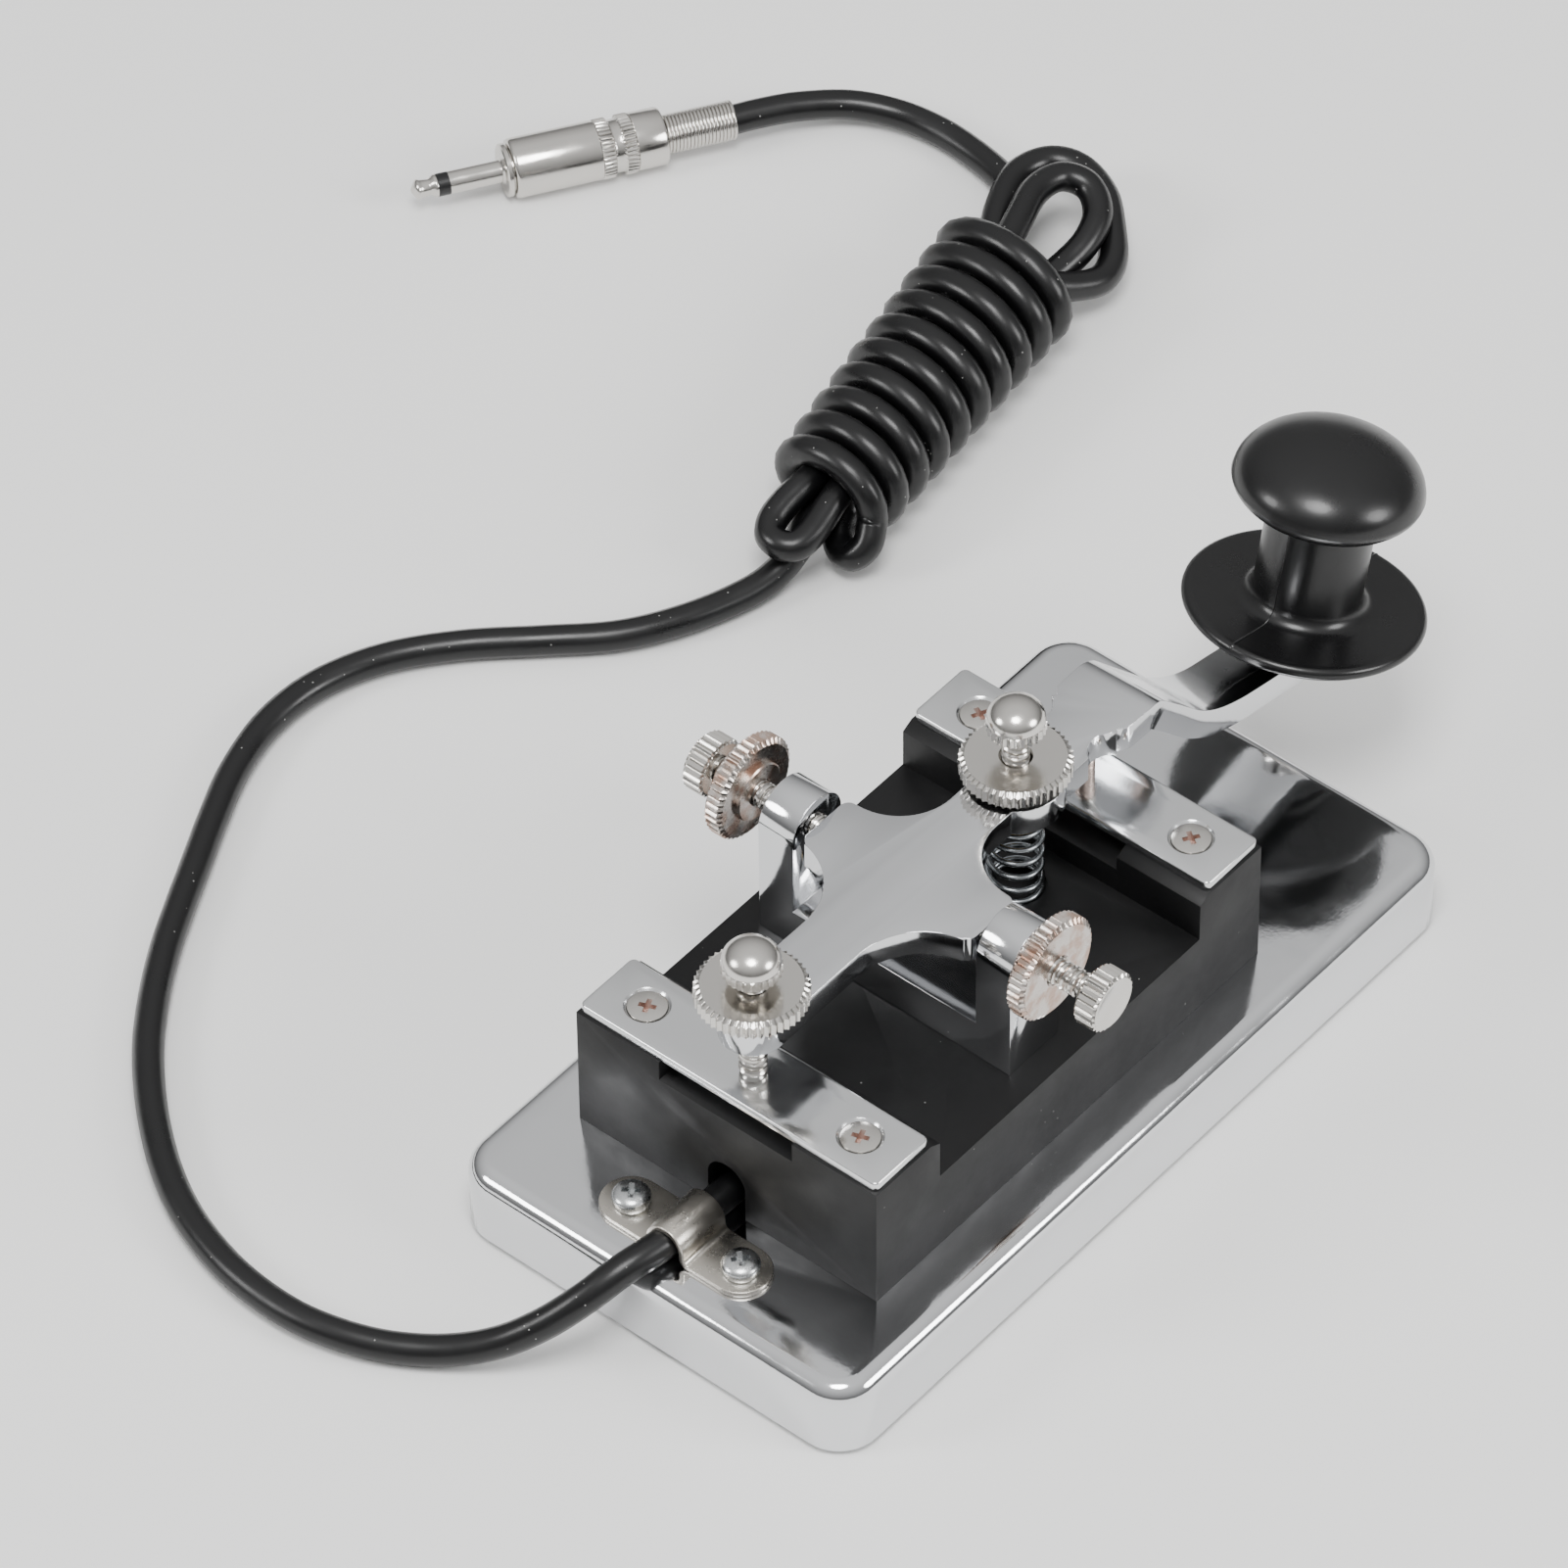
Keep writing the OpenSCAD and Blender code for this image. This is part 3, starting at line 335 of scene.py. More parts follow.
def loose_object(mesh: bpy.types.Mesh, name: str) -> bpy.types.Object:
    """Puts a mesh in the scene as an object of its own."""
    thing = bpy.data.objects.new(name, mesh)
    bpy.context.scene.collection.objects.link(thing)
    return thing


def evaluated_mesh(thing: bpy.types.Object, name: str) -> bpy.types.Mesh:
    """Applies an object's modifiers, and removes the object.

    Args:
        thing: the object, with its modifiers on it.
        name: the result's name.

    Returns:
        The plain mesh.
    """
    graph = bpy.context.evaluated_depsgraph_get()
    graph.update()
    mesh = bpy.data.meshes.new_from_object(thing.evaluated_get(graph), depsgraph=graph)
    mesh.name = name
    thing.modifiers.clear()
    bpy.data.objects.remove(thing)
    return mesh


@dataclass
class Piece:
    """One finished visible piece.

    Attributes:
        name: its name.
        mesh: its mesh in millimetres, in place.
        finish: its finish.
        body: the CAD body that it rides on.
        slot: the record's material slot; not used.
        nodes: the CAD nodes that it stands for.
        crease: the angle above which an edge stays sharp, in degrees.
        keep_materials: True where the mesh already has its materials.
    """

    name: str
    mesh: bpy.types.Mesh
    finish: Finish
    body: str
    slot: str
    nodes: Sequence[str]
    crease: float = 32.0
    keep_materials: bool = False

    def place(self) -> bpy.types.Object:
        """Dresses the mesh, puts it on its body and reports it."""
        if not self.keep_materials:
            self.mesh.materials.clear()
            self.mesh.materials.append(self.finish.material())
        self.mesh.transform(Matrix.Scale(MM, 4))
        self.mesh.shade_smooth()
        self.mesh.set_sharp_from_angle(angle=math.radians(self.crease))
        thing = loose_object(self.mesh, self.name)
        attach(thing, self.body)
        if self.nodes:
            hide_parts(*self.nodes)
        LOG.info("%s rides on %s, %d faces", self.name, self.body, len(self.mesh.polygons))
        return thing


def lathe(profile: Sequence[Point], angles: int | Sequence[float] = 72) -> bmesh.types.BMesh:
    """Turns a profile round the z axis into a closed form.

    Args:
        profile: [radius, height] points from one end of the axis to the other, or back to the first.
        angles: the number of steps, or the angles themselves in degrees.

    Returns:
        The turned form. Points on the axis are merged.
    """
    if isinstance(angles, int):
        angles = [360 * i / angles for i in range(angles)]
    bm = bmesh.new()
    rings = []
    for r, z in profile:
        if r < 1e-6:
            rings.append([bm.verts.new((0, 0, z))] * len(angles))
            continue
        turns = [math.radians(a) for a in angles]
        rings.append([bm.verts.new((r * math.cos(a), r * math.sin(a), z)) for a in turns])
    open_ended = profile[0][0] > 1e-6
    pairs = list(zip(rings, rings[1:])) + ([(rings[-1], rings[0])] if open_ended else [])
    for low, high in pairs:
        for i in range(len(angles)):
            j = (i + 1) % len(angles)
            corners = list(dict.fromkeys([low[i], low[j], high[j], high[i]]))
            if len(corners) > 2:
                bm.faces.new(corners)
    bmesh.ops.recalc_face_normals(bm, faces=bm.faces)
    return bm


def rounded(profile: Sequence[Point], radius: float, steps: int = 3) -> list[Point]:
    """Rounds the inner corners of an open profile.

    Args:
        profile: its points.
        radius: the largest radius; a short side takes a smaller one.
        steps: how many stretches each corner gets.

    Returns:
        The profile with an arc-like blend at each inner corner.
    """
    made = [tuple(profile[0])]
    for before, here, after in zip(profile, profile[1:], profile[2:]):
        a, b, c = Vector(before), Vector(here), Vector(after)
        reach = min(radius, (a - b).length / 2.05, (c - b).length / 2.05)
        p, q = b + (a - b).normalized() * reach, b + (c - b).normalized() * reach
        for i in range(steps + 1):
            t = i / steps
            made.append(tuple((1 - t) ** 2 * p + 2 * t * (1 - t) * b + t * t * q))
    return made + [tuple(profile[-1])]


def plate(outline: Sequence[Point], thickness: float, edge: float, cuts: Sequence[float] = ()) -> bmesh.types.BMesh:
    """Makes a flat plate with rounded rims.

    Args:
        outline: its shape in x and y.
        thickness: how far it reaches below z = 0.
        edge: radius of the rims.
        cuts: the y at which it is divided, so that it can be bent there.

    Returns:
        The plate.
    """
    bm = bmesh.new()
    top = bm.faces.new([bm.verts.new((x, y, 0)) for x, y in outline])
    lower = bmesh.ops.extrude_face_region(bm, geom=[top])["geom"]
    bmesh.ops.translate(bm, vec=(0, 0, -thickness), verts=[v for v in lower if isinstance(v, bmesh.types.BMVert)])
    bmesh.ops.recalc_face_normals(bm, faces=bm.faces)
    rims = [e for e in bm.edges if abs(e.verts[0].co.z - e.verts[1].co.z) < 1e-6]
    bmesh.ops.bevel(bm, geom=rims, offset=edge, segments=3, profile=0.5, affect="EDGES", clamp_overlap=True)
    for y in cuts:
        bmesh.ops.bisect_plane(bm, geom=[*bm.verts, *bm.edges, *bm.faces], plane_co=(0, y, 0), plane_no=(0, 1, 0))
    return bm


def bevelled_copy(node: str, width: float, segments: int = 3, angle: float = 30) -> bpy.types.Mesh:
    """Copies a CAD node's shape and rounds its edges.

    Args:
        node: the CAD node.
        width: the rounding, in millimetres.
        segments: its steps.
        angle: edges sharper than this many degrees are rounded.

    Returns:
        A closed mesh in millimetres.
    """
    bm = bmesh.new()
    bm.from_mesh(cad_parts[node].data)
    bmesh.ops.scale(bm, vec=(1 / MM,) * 3, verts=bm.verts)
    bmesh.ops.remove_doubles(bm, verts=bm.verts, dist=0.002)
    bmesh.ops.dissolve_limit(bm, angle_limit=math.radians(0.5), verts=bm.verts, edges=bm.edges)
    bmesh.ops.recalc_face_normals(bm, faces=bm.faces)
    thing = loose_object(mesh_from(bm, node), node + "_blank")
    rim = thing.modifiers.new("rim", "BEVEL")
    rim.width, rim.segments, rim.limit_method = width, segments, "ANGLE"
    rim.angle_limit = math.radians(angle)
    rim.harden_normals = False
    return evaluated_mesh(thing, node + "_shape")


def carved(body: bpy.types.Mesh, tool: bpy.types.Mesh) -> bpy.types.Mesh:
    """Cuts one mesh out of another.

    Args:
        body: what is cut.
        tool: what is taken away.

    Returns:
        What is left.
    """
    cutter = loose_object(tool, "cutter")
    thing = loose_object(body, "carved")
    cut = thing.modifiers.new("cut", "BOOLEAN")
    cut.operation, cut.object, cut.solver = "DIFFERENCE", cutter, "EXACT"
    left = evaluated_mesh(thing, body.name)
    bpy.data.objects.remove(cutter)
    return left


def box_form(low: Point, high: Point) -> bmesh.types.BMesh:
    """Returns a box between two corners."""
    bm = bmesh.new()
    bmesh.ops.create_cube(bm, size=1)
    size = Vector(high) - Vector(low)
    bmesh.ops.scale(bm, vec=size, verts=bm.verts)
    bmesh.ops.translate(bm, vec=(Vector(low) + Vector(high)) / 2, verts=bm.verts)
    return bm


def joined(meshes: Sequence[bpy.types.Mesh], name: str) -> bpy.types.Mesh:
    """Joins several meshes into one."""
    bm = bmesh.new()
    for mesh in meshes:
        bm.from_mesh(mesh)
        bpy.data.meshes.remove(mesh)
    return mesh_from(bm, name)


def axis_frame(origin: Sequence[float], axis: Sequence[float]) -> Matrix:
    """Returns the matrix that takes +z to axis and the origin to the given point."""
    turn = Vector((0, 0, 1)).rotation_difference(Vector(axis).normalized())
    return Matrix.Translation(Vector(origin)) @ turn.to_matrix().to_4x4()


# ---- Geometry Nodes ----


class ShapeTree:
    """A Geometry Nodes tree with named inputs; it ends in real geometry with its material set."""

    def __init__(self, name: str, inputs: dict[str, str]) -> None:
        """Starts the tree.

        Args:
            name: the tree's name.
            inputs: each input's name and socket type, besides Geometry and Material.
        """
        self.tree = bpy.data.node_groups.new(name, "GeometryNodeTree")
        face = self.tree.interface
        for label, kind in {"Geometry": "NodeSocketGeometry", "Material": "NodeSocketMaterial", **inputs}.items():
            face.new_socket(label, in_out="INPUT", socket_type=kind)
        face.new_socket("Geometry", in_out="OUTPUT", socket_type="NodeSocketGeometry")
        self.given = add_node(self.tree, "NodeGroupInput").outputs
        dressed = self.finish(self.build())
        add_node(self.tree, "NodeGroupOutput", {0: dressed})

    def build(self) -> bpy.types.NodeSocket:
        """Builds the shape and returns its socket."""
        raise NotImplementedError

    def finish(self, shape: bpy.types.NodeSocket) -> bpy.types.NodeSocket:
        """Makes instances real and sets the material."""
        real = add_node(self.tree, "GeometryNodeRealizeInstances", {"Geometry": shape})
        return add_node(self.tree, "GeometryNodeSetMaterial", {
            "Geometry": real.outputs[0], "Material": self.given["Material"],
        }).outputs[0]

    def grow(self, name: str, finish: Finish, mesh: bpy.types.Mesh | None = None, **values) -> bpy.types.Mesh:
        """Runs the tree.

        Args:
            name: the result's name.
            finish: the finish that it is given.
            mesh: the mesh that it starts from, if it needs one.
            values: the other inputs, with _ for each space in a name.

        Returns:
            The shape as a plain mesh.
        """
        thing = loose_object(mesh or bpy.data.meshes.new(name), name + "_blank")
        modifier = thing.modifiers.new(name, "NODES")
        modifier.node_group = self.tree
        wanted = {label.replace("_", " "): value for label, value in values.items()}
        wanted["Material"] = finish.material()
        for item in self.tree.interface.items_tree:
            if item.in_out == "INPUT" and item.name in wanted:
                modifier[item.identifier] = wanted[item.name]
        return evaluated_mesh(thing, name)


class CoilTree(ShapeTree):
    """Winds a wire round the z axis: a spring, a thread's ridge or a strain relief."""

    def __init__(self) -> None:
        """Names the coil's sizes."""
        super().__init__("coil", {
            "Turns": "NodeSocketFloat", "Radius": "NodeSocketFloat", "Height": "NodeSocketFloat",
            "Wire": "NodeSocketFloat", "Flat Turns": "NodeSocketFloat", "Flat Share": "NodeSocketFloat",
            "Sides": "NodeSocketInt", "Steps": "NodeSocketInt",
        })

    def build(self) -> bpy.types.NodeSocket:
        """Lifts a spiral, slower over its flat end turns, and sweeps the wire along it."""
        tree, given = self.tree, self.given
        spiral = add_node(tree, "GeometryNodeCurveSpiral", {
            "Resolution": given["Steps"], "Rotations": given["Turns"], "Start Radius": given["Radius"],
            "End Radius": given["Radius"], "Height": given["Height"],
        })
        along = add_node(tree, "GeometryNodeSplineParameter").outputs["Factor"]
        flat = add_node(tree, "ShaderNodeMath", {0: given["Flat Turns"], 1: given["Turns"]}, operation="DIVIDE").outputs[0]
        until = add_node(tree, "ShaderNodeMath", {0: 1.0, 1: flat}, operation="SUBTRACT").outputs[0]
        climb = add_node(tree, "ShaderNodeMapRange", {"Value": along, 1: flat, 2: until}).outputs[0]
        rise = add_node(tree, "ShaderNodeMix", {0: given["Flat Share"], 2: climb, 3: along}).outputs[0]
        height = add_node(tree, "ShaderNodeMath", {0: rise, 1: given["Height"]}, operation="MULTIPLY").outputs[0]
        here = add_node(tree, "ShaderNodeSeparateXYZ", {0: add_node(tree, "GeometryNodeInputPosition").outputs[0]})
        there = add_node(tree, "ShaderNodeCombineXYZ", {0: here.outputs[0], 1: here.outputs[1], 2: height})
        lifted = add_node(tree, "GeometryNodeSetPosition", {"Geometry": spiral.outputs[0], "Position": there.outputs[0]})
        wire = add_node(tree, "GeometryNodeCurvePrimitiveCircle", {"Resolution": given["Sides"], "Radius": given["Wire"]})
        return add_node(tree, "GeometryNodeCurveToMesh", {
            "Curve": lifted.outputs[0], "Profile Curve": wire.outputs[0], "Fill Caps": True,
        }).outputs[0]


class KnurlTree(ShapeTree):
    """Presses straight ridges into a turned form wherever its grip attribute is set."""

    def __init__(self) -> None:
        """Names the knurl's sizes."""
        super().__init__("knurl", {"Ridges": "NodeSocketInt", "Depth": "NodeSocketFloat"})

    def build(self) -> bpy.types.NodeSocket:
        """Moves each gripped point towards the axis by how far it lies from a ridge's crest."""
        tree, given = self.tree, self.given
        place = add_node(tree, "GeometryNodeInputPosition").outputs[0]
        here = add_node(tree, "ShaderNodeSeparateXYZ", {0: place})
        turn = add_node(tree, "ShaderNodeMath", {0: here.outputs[1], 1: here.outputs[0]}, operation="ARCTAN2").outputs[0]
        half = add_node(tree, "ShaderNodeMath", {0: given["Ridges"], 1: 0.5}, operation="MULTIPLY").outputs[0]
        phase = add_node(tree, "ShaderNodeMath", {0: turn, 1: half}, operation="MULTIPLY").outputs[0]
        swing = add_node(tree, "ShaderNodeMath", {0: phase}, operation="COSINE").outputs[0]
        valley = add_node(tree, "ShaderNodeMath", {0: swing}, operation="ABSOLUTE").outputs[0]
        grip = add_node(tree, "GeometryNodeInputNamedAttribute", {"Name": "grip"}, data_type="FLOAT").outputs[0]
        depth = add_node(tree, "ShaderNodeMath", {0: valley, 1: given["Depth"]}, operation="MULTIPLY").outputs[0]
        press = add_node(tree, "ShaderNodeMath", {0: depth, 1: grip}, operation="MULTIPLY").outputs[0]
        flat = add_node(tree, "ShaderNodeVectorMath", {0: place, 1: (1, 1, 0)}, operation="MULTIPLY").outputs[0]
        inward = add_node(tree, "ShaderNodeVectorMath", {0: flat}, operation="NORMALIZE").outputs[0]
        back = add_node(tree, "ShaderNodeMath", {0: press, 1: -1.0}, operation="MULTIPLY").outputs[0]
        move = add_node(tree, "ShaderNodeVectorMath", {0: inward, "Scale": back}, operation="SCALE").outputs[0]
        return add_node(tree, "GeometryNodeSetPosition", {"Geometry": given["Geometry"], "Offset": move}).outputs[0]


class ScrewTree(ShapeTree):
    """Sets one screw at each point of a grid, each turned its own way."""

    def __init__(self) -> None:
        """Names the grid's sizes."""
        super().__init__("screws", {
            "Columns": "NodeSocketInt", "Rows": "NodeSocketInt", "Width": "NodeSocketFloat",
            "Length": "NodeSocketFloat", "Centre": "NodeSocketVector", "Seed": "NodeSocketInt",
            "Recess": "NodeSocketMaterial",
        })

    def build(self) -> bpy.types.NodeSocket:
        """Places the screws."""
        tree, given = self.tree, self.given
        grid = add_node(tree, "GeometryNodeMeshGrid", {
            "Size X": given["Width"], "Size Y": given["Length"], "Vertices X": given["Columns"],
            "Vertices Y": given["Rows"],
        })
        chance = add_node(tree, "FunctionNodeRandomValue", {2: 0.2, 3: 1.3, "Seed": given["Seed"]}, data_type="FLOAT")
        angles = add_node(tree, "ShaderNodeCombineXYZ", {2: chance.outputs[1]})
        turned = add_node(tree, "FunctionNodeEulerToRotation", {0: angles.outputs[0]})
        moved = add_node(tree, "GeometryNodeTransform", {"Geometry": grid.outputs[0], "Translation": given["Centre"]})
        return add_node(tree, "GeometryNodeInstanceOnPoints", {
            "Points": moved.outputs[0], "Instance": given["Geometry"], "Rotation": turned.outputs[0],
        }).outputs[0]

    def finish(self, shape: bpy.types.NodeSocket) -> bpy.types.NodeSocket:
        """Sets the head's material, and the recess's own."""
        dressed = super().finish(shape)
        cut = add_node(self.tree, "GeometryNodeInputNamedAttribute", {"Name": "recess"}, data_type="BOOLEAN")
        return add_node(self.tree, "GeometryNodeSetMaterial", {
            "Geometry": dressed, "Selection": cut.outputs[0], "Material": self.given["Recess"],
        }).outputs[0]


# ---- Bent plates ----


@dataclass
class Bend:
    """The side view that a flat plate is bent along.

    Attributes:
        line: the upper face's points, as [run, height].
        flat: where each of them lies on the flat plate.
    """

    line: list[Vector]
    flat: list[float]

    def normal(self, i: int) -> Vector:
        """Returns the upward normal at one of the line's points."""
        way = (self.line[min(i + 1, len(self.line) - 1)] - self.line[max(i - 1, 0)]).normalized()
        up = Vector((-way.y, way.x))
        return up if up.y > 0 or abs(up.y) < 1e-9 else -up

    def apply(self, bm: bmesh.types.BMesh, run: int) -> None:
        """Bends a plate.

        Args:
            bm: the flat plate, with its upper face at z = 0.
            run: the axis that is bent, 0 for x and 1 for y.
        """
        normals = [self.normal(i) for i in range(len(self.line))]
        for vert in bm.verts:
            s = vert.co[run]
            i = next((k for k in range(len(self.flat) - 1) if s <= self.flat[k + 1]), len(self.flat) - 2)
            t = (s - self.flat[i]) / (self.flat[i + 1] - self.flat[i])
            on = self.line[i].lerp(self.line[i + 1], t)
            up = normals[i].lerp(normals[i + 1], min(1, max(0, t))).normalized()
            vert.co[run], vert.co.z = on.x + up.x * vert.co.z, on.y + up.y * vert.co.z


# ---- Turned and threaded hardware ----


def ring_profile(outer: float, length: float, chamfer: float, start: float = 0.0, grip: float = 1.0) -> list[Point]:
    """Returns the rim of a gripped disc as [radius, height, grip] points, from its lower face up."""
    end = start + length
    return [
        (outer - chamfer * 1.6, start, 0), (outer - chamfer, start + chamfer * 0.3, grip),
        (outer, start + chamfer, grip), (outer, end - chamfer, grip),
        (outer - chamfer, end - chamfer * 0.3, grip), (outer - chamfer * 1.6, end, 0),
    ]


def gripped(profile: Sequence[Point], ridges: int) -> bpy.types.Mesh:
    """Turns a profile of [radius, height, grip] points, with four steps to each ridge."""
    bm = lathe([p[:2] for p in profile], ridges * 4)
    grip = bm.verts.layers.float.new("grip")
    marks = {(round(r, 4), round(z, 4)): g for r, z, g in profile}
    for vert in bm.verts:
        vert[grip] = marks.get((round(vert.co.xy.length, 4), round(vert.co.z, 4)), 0)
    return mesh_from(bm, "gripped")


@dataclass
class LockNut:
    """Knurled lock nut: a hub on the side that clamps, and a ridged rim."""

    trees: dict[str, ShapeTree]
    rim_r: float = 7.9
    rim_h: float = 3.0
    hub_r: float = 4.5
    hub_h: float = 0.8
    bore_r: float = 2.08
    ridges: int = 48

    def mesh(self, name: str, finish: Finish, at: Matrix) -> bpy.types.Mesh:
        """Returns the nut, with its hub's face at the frame's origin.

        Args:
            name: the mesh's name.
            finish: its finish.
            at: the frame that it stands in.

        Returns:
            The nut in place.
        """
        top = self.hub_h + self.rim_h
        profile = [
            (self.bore_r, 0, 0), (self.hub_r - 0.2, 0, 0), (self.hub_r, 0.2, 0), (self.hub_r, self.hub_h, 0),
            *ring_profile(self.rim_r, self.rim_h, 0.55, self.hub_h),
            (self.rim_r - 1.5, top, 0), (self.bore_r + 0.3, top, 0), (self.bore_r, top - 0.3, 0),
        ]
        mesh = self.trees["knurl"].grow(name, finish, gripped(profile, self.ridges), Ridges=self.ridges, Depth=0.42)
        mesh.transform(at)
        return mesh


@dataclass
class ThumbHead:
    """Knurled thumb head, domed on the upright screws and flat on the trunnions."""

    trees: dict[str, ShapeTree]
    radius: float = 4.2
    rim_h: float = 2.2
    dome_h: float = 3.0
    ridges: int = 26

    def mesh(self, name: str, finish: Finish, at: Matrix) -> bpy.types.Mesh:
        """Returns the head, with its lower face at the frame's origin."""
        rim = ring_profile(self.radius, self.rim_h, 0.35)
        if self.dome_h:
            foot = self.radius - 0.1
            dome = [
                (foot * math.cos(math.radians(a)), self.rim_h + 0.1 + (self.dome_h - 0.1) * math.sin(math.radians(a)), 0)
                for a in range(0, 90, 10)
            ]
            cap = [(foot - 0.12, self.rim_h, 0), *dome, (0, self.rim_h + self.dome_h, 0)]
        else:
            inner, top = self.radius - 1.1, self.rim_h
            cap = [(inner, top, 0), (inner - 0.15, top - 0.08, 0), (0, top - 0.08, 0)]
        profile = [(0, 1.9, 0), (2.08, 1.9, 0), (2.08, 0, 0), *rim, *cap]
        blank = gripped(profile, self.ridges)
        mesh = self.trees["knurl"].grow(name, finish, blank, Ridges=self.ridges, Depth=0.38)
        mesh.transform(at)
        return mesh


@dataclass
class Stud:
    """Threaded stud with a pitch of 0.7 mm, with or without a cone point."""

    trees: dict[str, ShapeTree]
    radius: float = 2.0
    pitch: float = 0.7
    cone: float = 0.0

    def mesh(self, name: str, finish: Finish, at: Matrix, length: float) -> bpy.types.Mesh:
        """Returns the stud, from its point at the frame's origin to length above it.

        Args:
            name: the mesh's name.
            finish: its finish.
            at: the frame that it stands in.
            length: its whole length.

        Returns:
            The stud in place.
        """
        core = self.radius - 0.26
        tip = [(0, 0), (0.22, 0), (core, self.cone)] if self.cone else [(0, 0), (core - 0.3, 0), (core, 0.3)]
        shank = mesh_from(lathe([*tip, (core, length - 0.3), (core - 0.3, length), (0, length)], 32), name + "_core")
        start = max(self.cone, 0.35)
        run = length - start - 0.35
        ridge = self.trees["coil"].grow(
            name + "_thread", finish, Turns=run / self.pitch, Radius=self.radius - 0.3, Height=run, Wire=0.3,
            Flat_Turns=0.0, Flat_Share=1.0, Sides=6, Steps=28,
        )
        ridge.transform(Matrix.Translation((0, 0, start)))
        mesh = joined([shank, ridge], name)
        mesh.transform(at)
        return mesh


def cross_tool(reach: float, width: float, top: float, depth: float) -> bpy.types.Mesh:
    """Returns the cutter for a cross recess, narrower towards its foot."""
    meshes = []
    for turn in (0, 90):
        bm = box_form((-reach, -width / 2, top - depth), (reach, width / 2, top + 0.6))
        for vert in bm.verts:
            if vert.co.z < top:
                vert.co.x *= 0.35
                vert.co.y *= 0.7
        bmesh.ops.rotate(bm, verts=bm.verts, cent=(0, 0, 0), matrix=Matrix.Rotation(math.radians(turn), 3, "Z"))
        meshes.append(mesh_from(bm, "cross"))
    first, second = meshes
    other = loose_object(second, "cross_arm")
    thing = loose_object(first, "cross_both")
    union = thing.modifiers.new("union", "BOOLEAN")
    union.operation, union.object, union.solver = "UNION", other, "EXACT"
    both = evaluated_mesh(thing, "cross")
    bpy.data.objects.remove(other)
    return both


def recessed(head: bpy.types.Mesh, top: float, reach: float) -> bpy.types.Mesh:
    """Cuts a cross recess in a screw's head and marks its faces.

    Args:
        head: the screw, with its head's top at the given height.
        top: that height.
        reach: half the recess's width.

    Returns:
        The screw, with the face attribute recess.
    """
    mesh = carved(head, cross_tool(reach, 0.85, top, 1.2))
    marks = mesh.attributes.new("recess", "BOOLEAN", "FACE")
    for face in mesh.polygons:
        middle = face.center
        marks.data[face.index].value = middle.xy.length < reach and middle.z < top - 0.12 and middle.z > top - 1.3
    return mesh


def pan_screw(length: float) -> bpy.types.Mesh:
    """Returns a cross-recessed pan head screw that stands on z = 0, with its shank below."""
    profile = [(0, -length), (1.45, -length), (1.45, 0), (2.65, 0), (2.75, 0.15), (2.75, 1.0)]
    dome = [(2.75 * math.cos(math.radians(a)) ** 0.8, 1.0 + 1.15 * math.sin(math.radians(a))) for a in range(12, 88, 12)]
    blank = mesh_from(lathe([*profile, *dome, (0, 2.15)], 40), "pan_screw")
    return recessed(blank, 2.1, 1.75)


def flat_screw(length: float) -> bpy.types.Mesh:
    """Returns a cross-recessed countersunk screw, with its head's top at z = 0."""
    profile = [(0, -length), (1.45, -length), (1.45, -1.6), (2.78, -0.22), (2.78, -0.02), (2.66, 0.03), (0, 0.05)]
    return recessed(mesh_from(lathe(profile, 40), "flat_screw"), 0.03, 1.6)


# ---- The view and the light ----


@dataclass
class View:
    """The camera's place and lens, in millimetres and degrees."""

    aim: Point = (30.14, 0.90, 36.89)
    azimuth: float = 220.351
    elevation: float = 46.209
    roll: float = -0.688
    distance: float = 1476.5
    lens: float = 247.3

    def build(self) -> None:
        """Makes the camera and sets it as the scene's."""
        a, e, r = (math.radians(v) for v in (self.azimuth, self.elevation, self.roll))
        back = Vector((math.sin(a) * math.cos(e), -math.cos(a) * math.cos(e), math.sin(e)))
        level = Vector((math.cos(a), math.sin(a), 0))
        upright = back.cross(level)
        right = level * math.cos(r) + upright * math.sin(r)
        up = upright * math.cos(r) - level * math.sin(r)
        data = bpy.data.cameras.new("main_view")
        data.lens, data.sensor_width = self.lens, 36
        camera = bpy.data.objects.new("main_view", data)
        bpy.context.scene.collection.objects.link(camera)
        turn = Matrix((right, up, back)).transposed().to_4x4()
        camera.matrix_world = Matrix.Translation((Vector(self.aim) + back * self.distance) * MM) @ turn
        bpy.context.scene.camera = camera


@dataclass(frozen=True)
class Softbox:
    """A soft area light that faces the object."""

    name: str
    place: Point
    size: float
    power: float

    def build(self) -> None:
        """Hangs the light."""
        data = bpy.data.lights.new(self.name, "AREA")
        data.shape, data.size, data.energy = "DISK", self.size, self.power
        lamp = bpy.data.objects.new(self.name, data)
        bpy.context.scene.collection.objects.link(lamp)
        toward = Vector((0.03, 0.0, 0.03)) - Vector(self.place)
        lamp.matrix_world = Matrix.Translation(self.place) @ toward.to_track_quat("-Z", "Y").to_matrix().to_4x4()


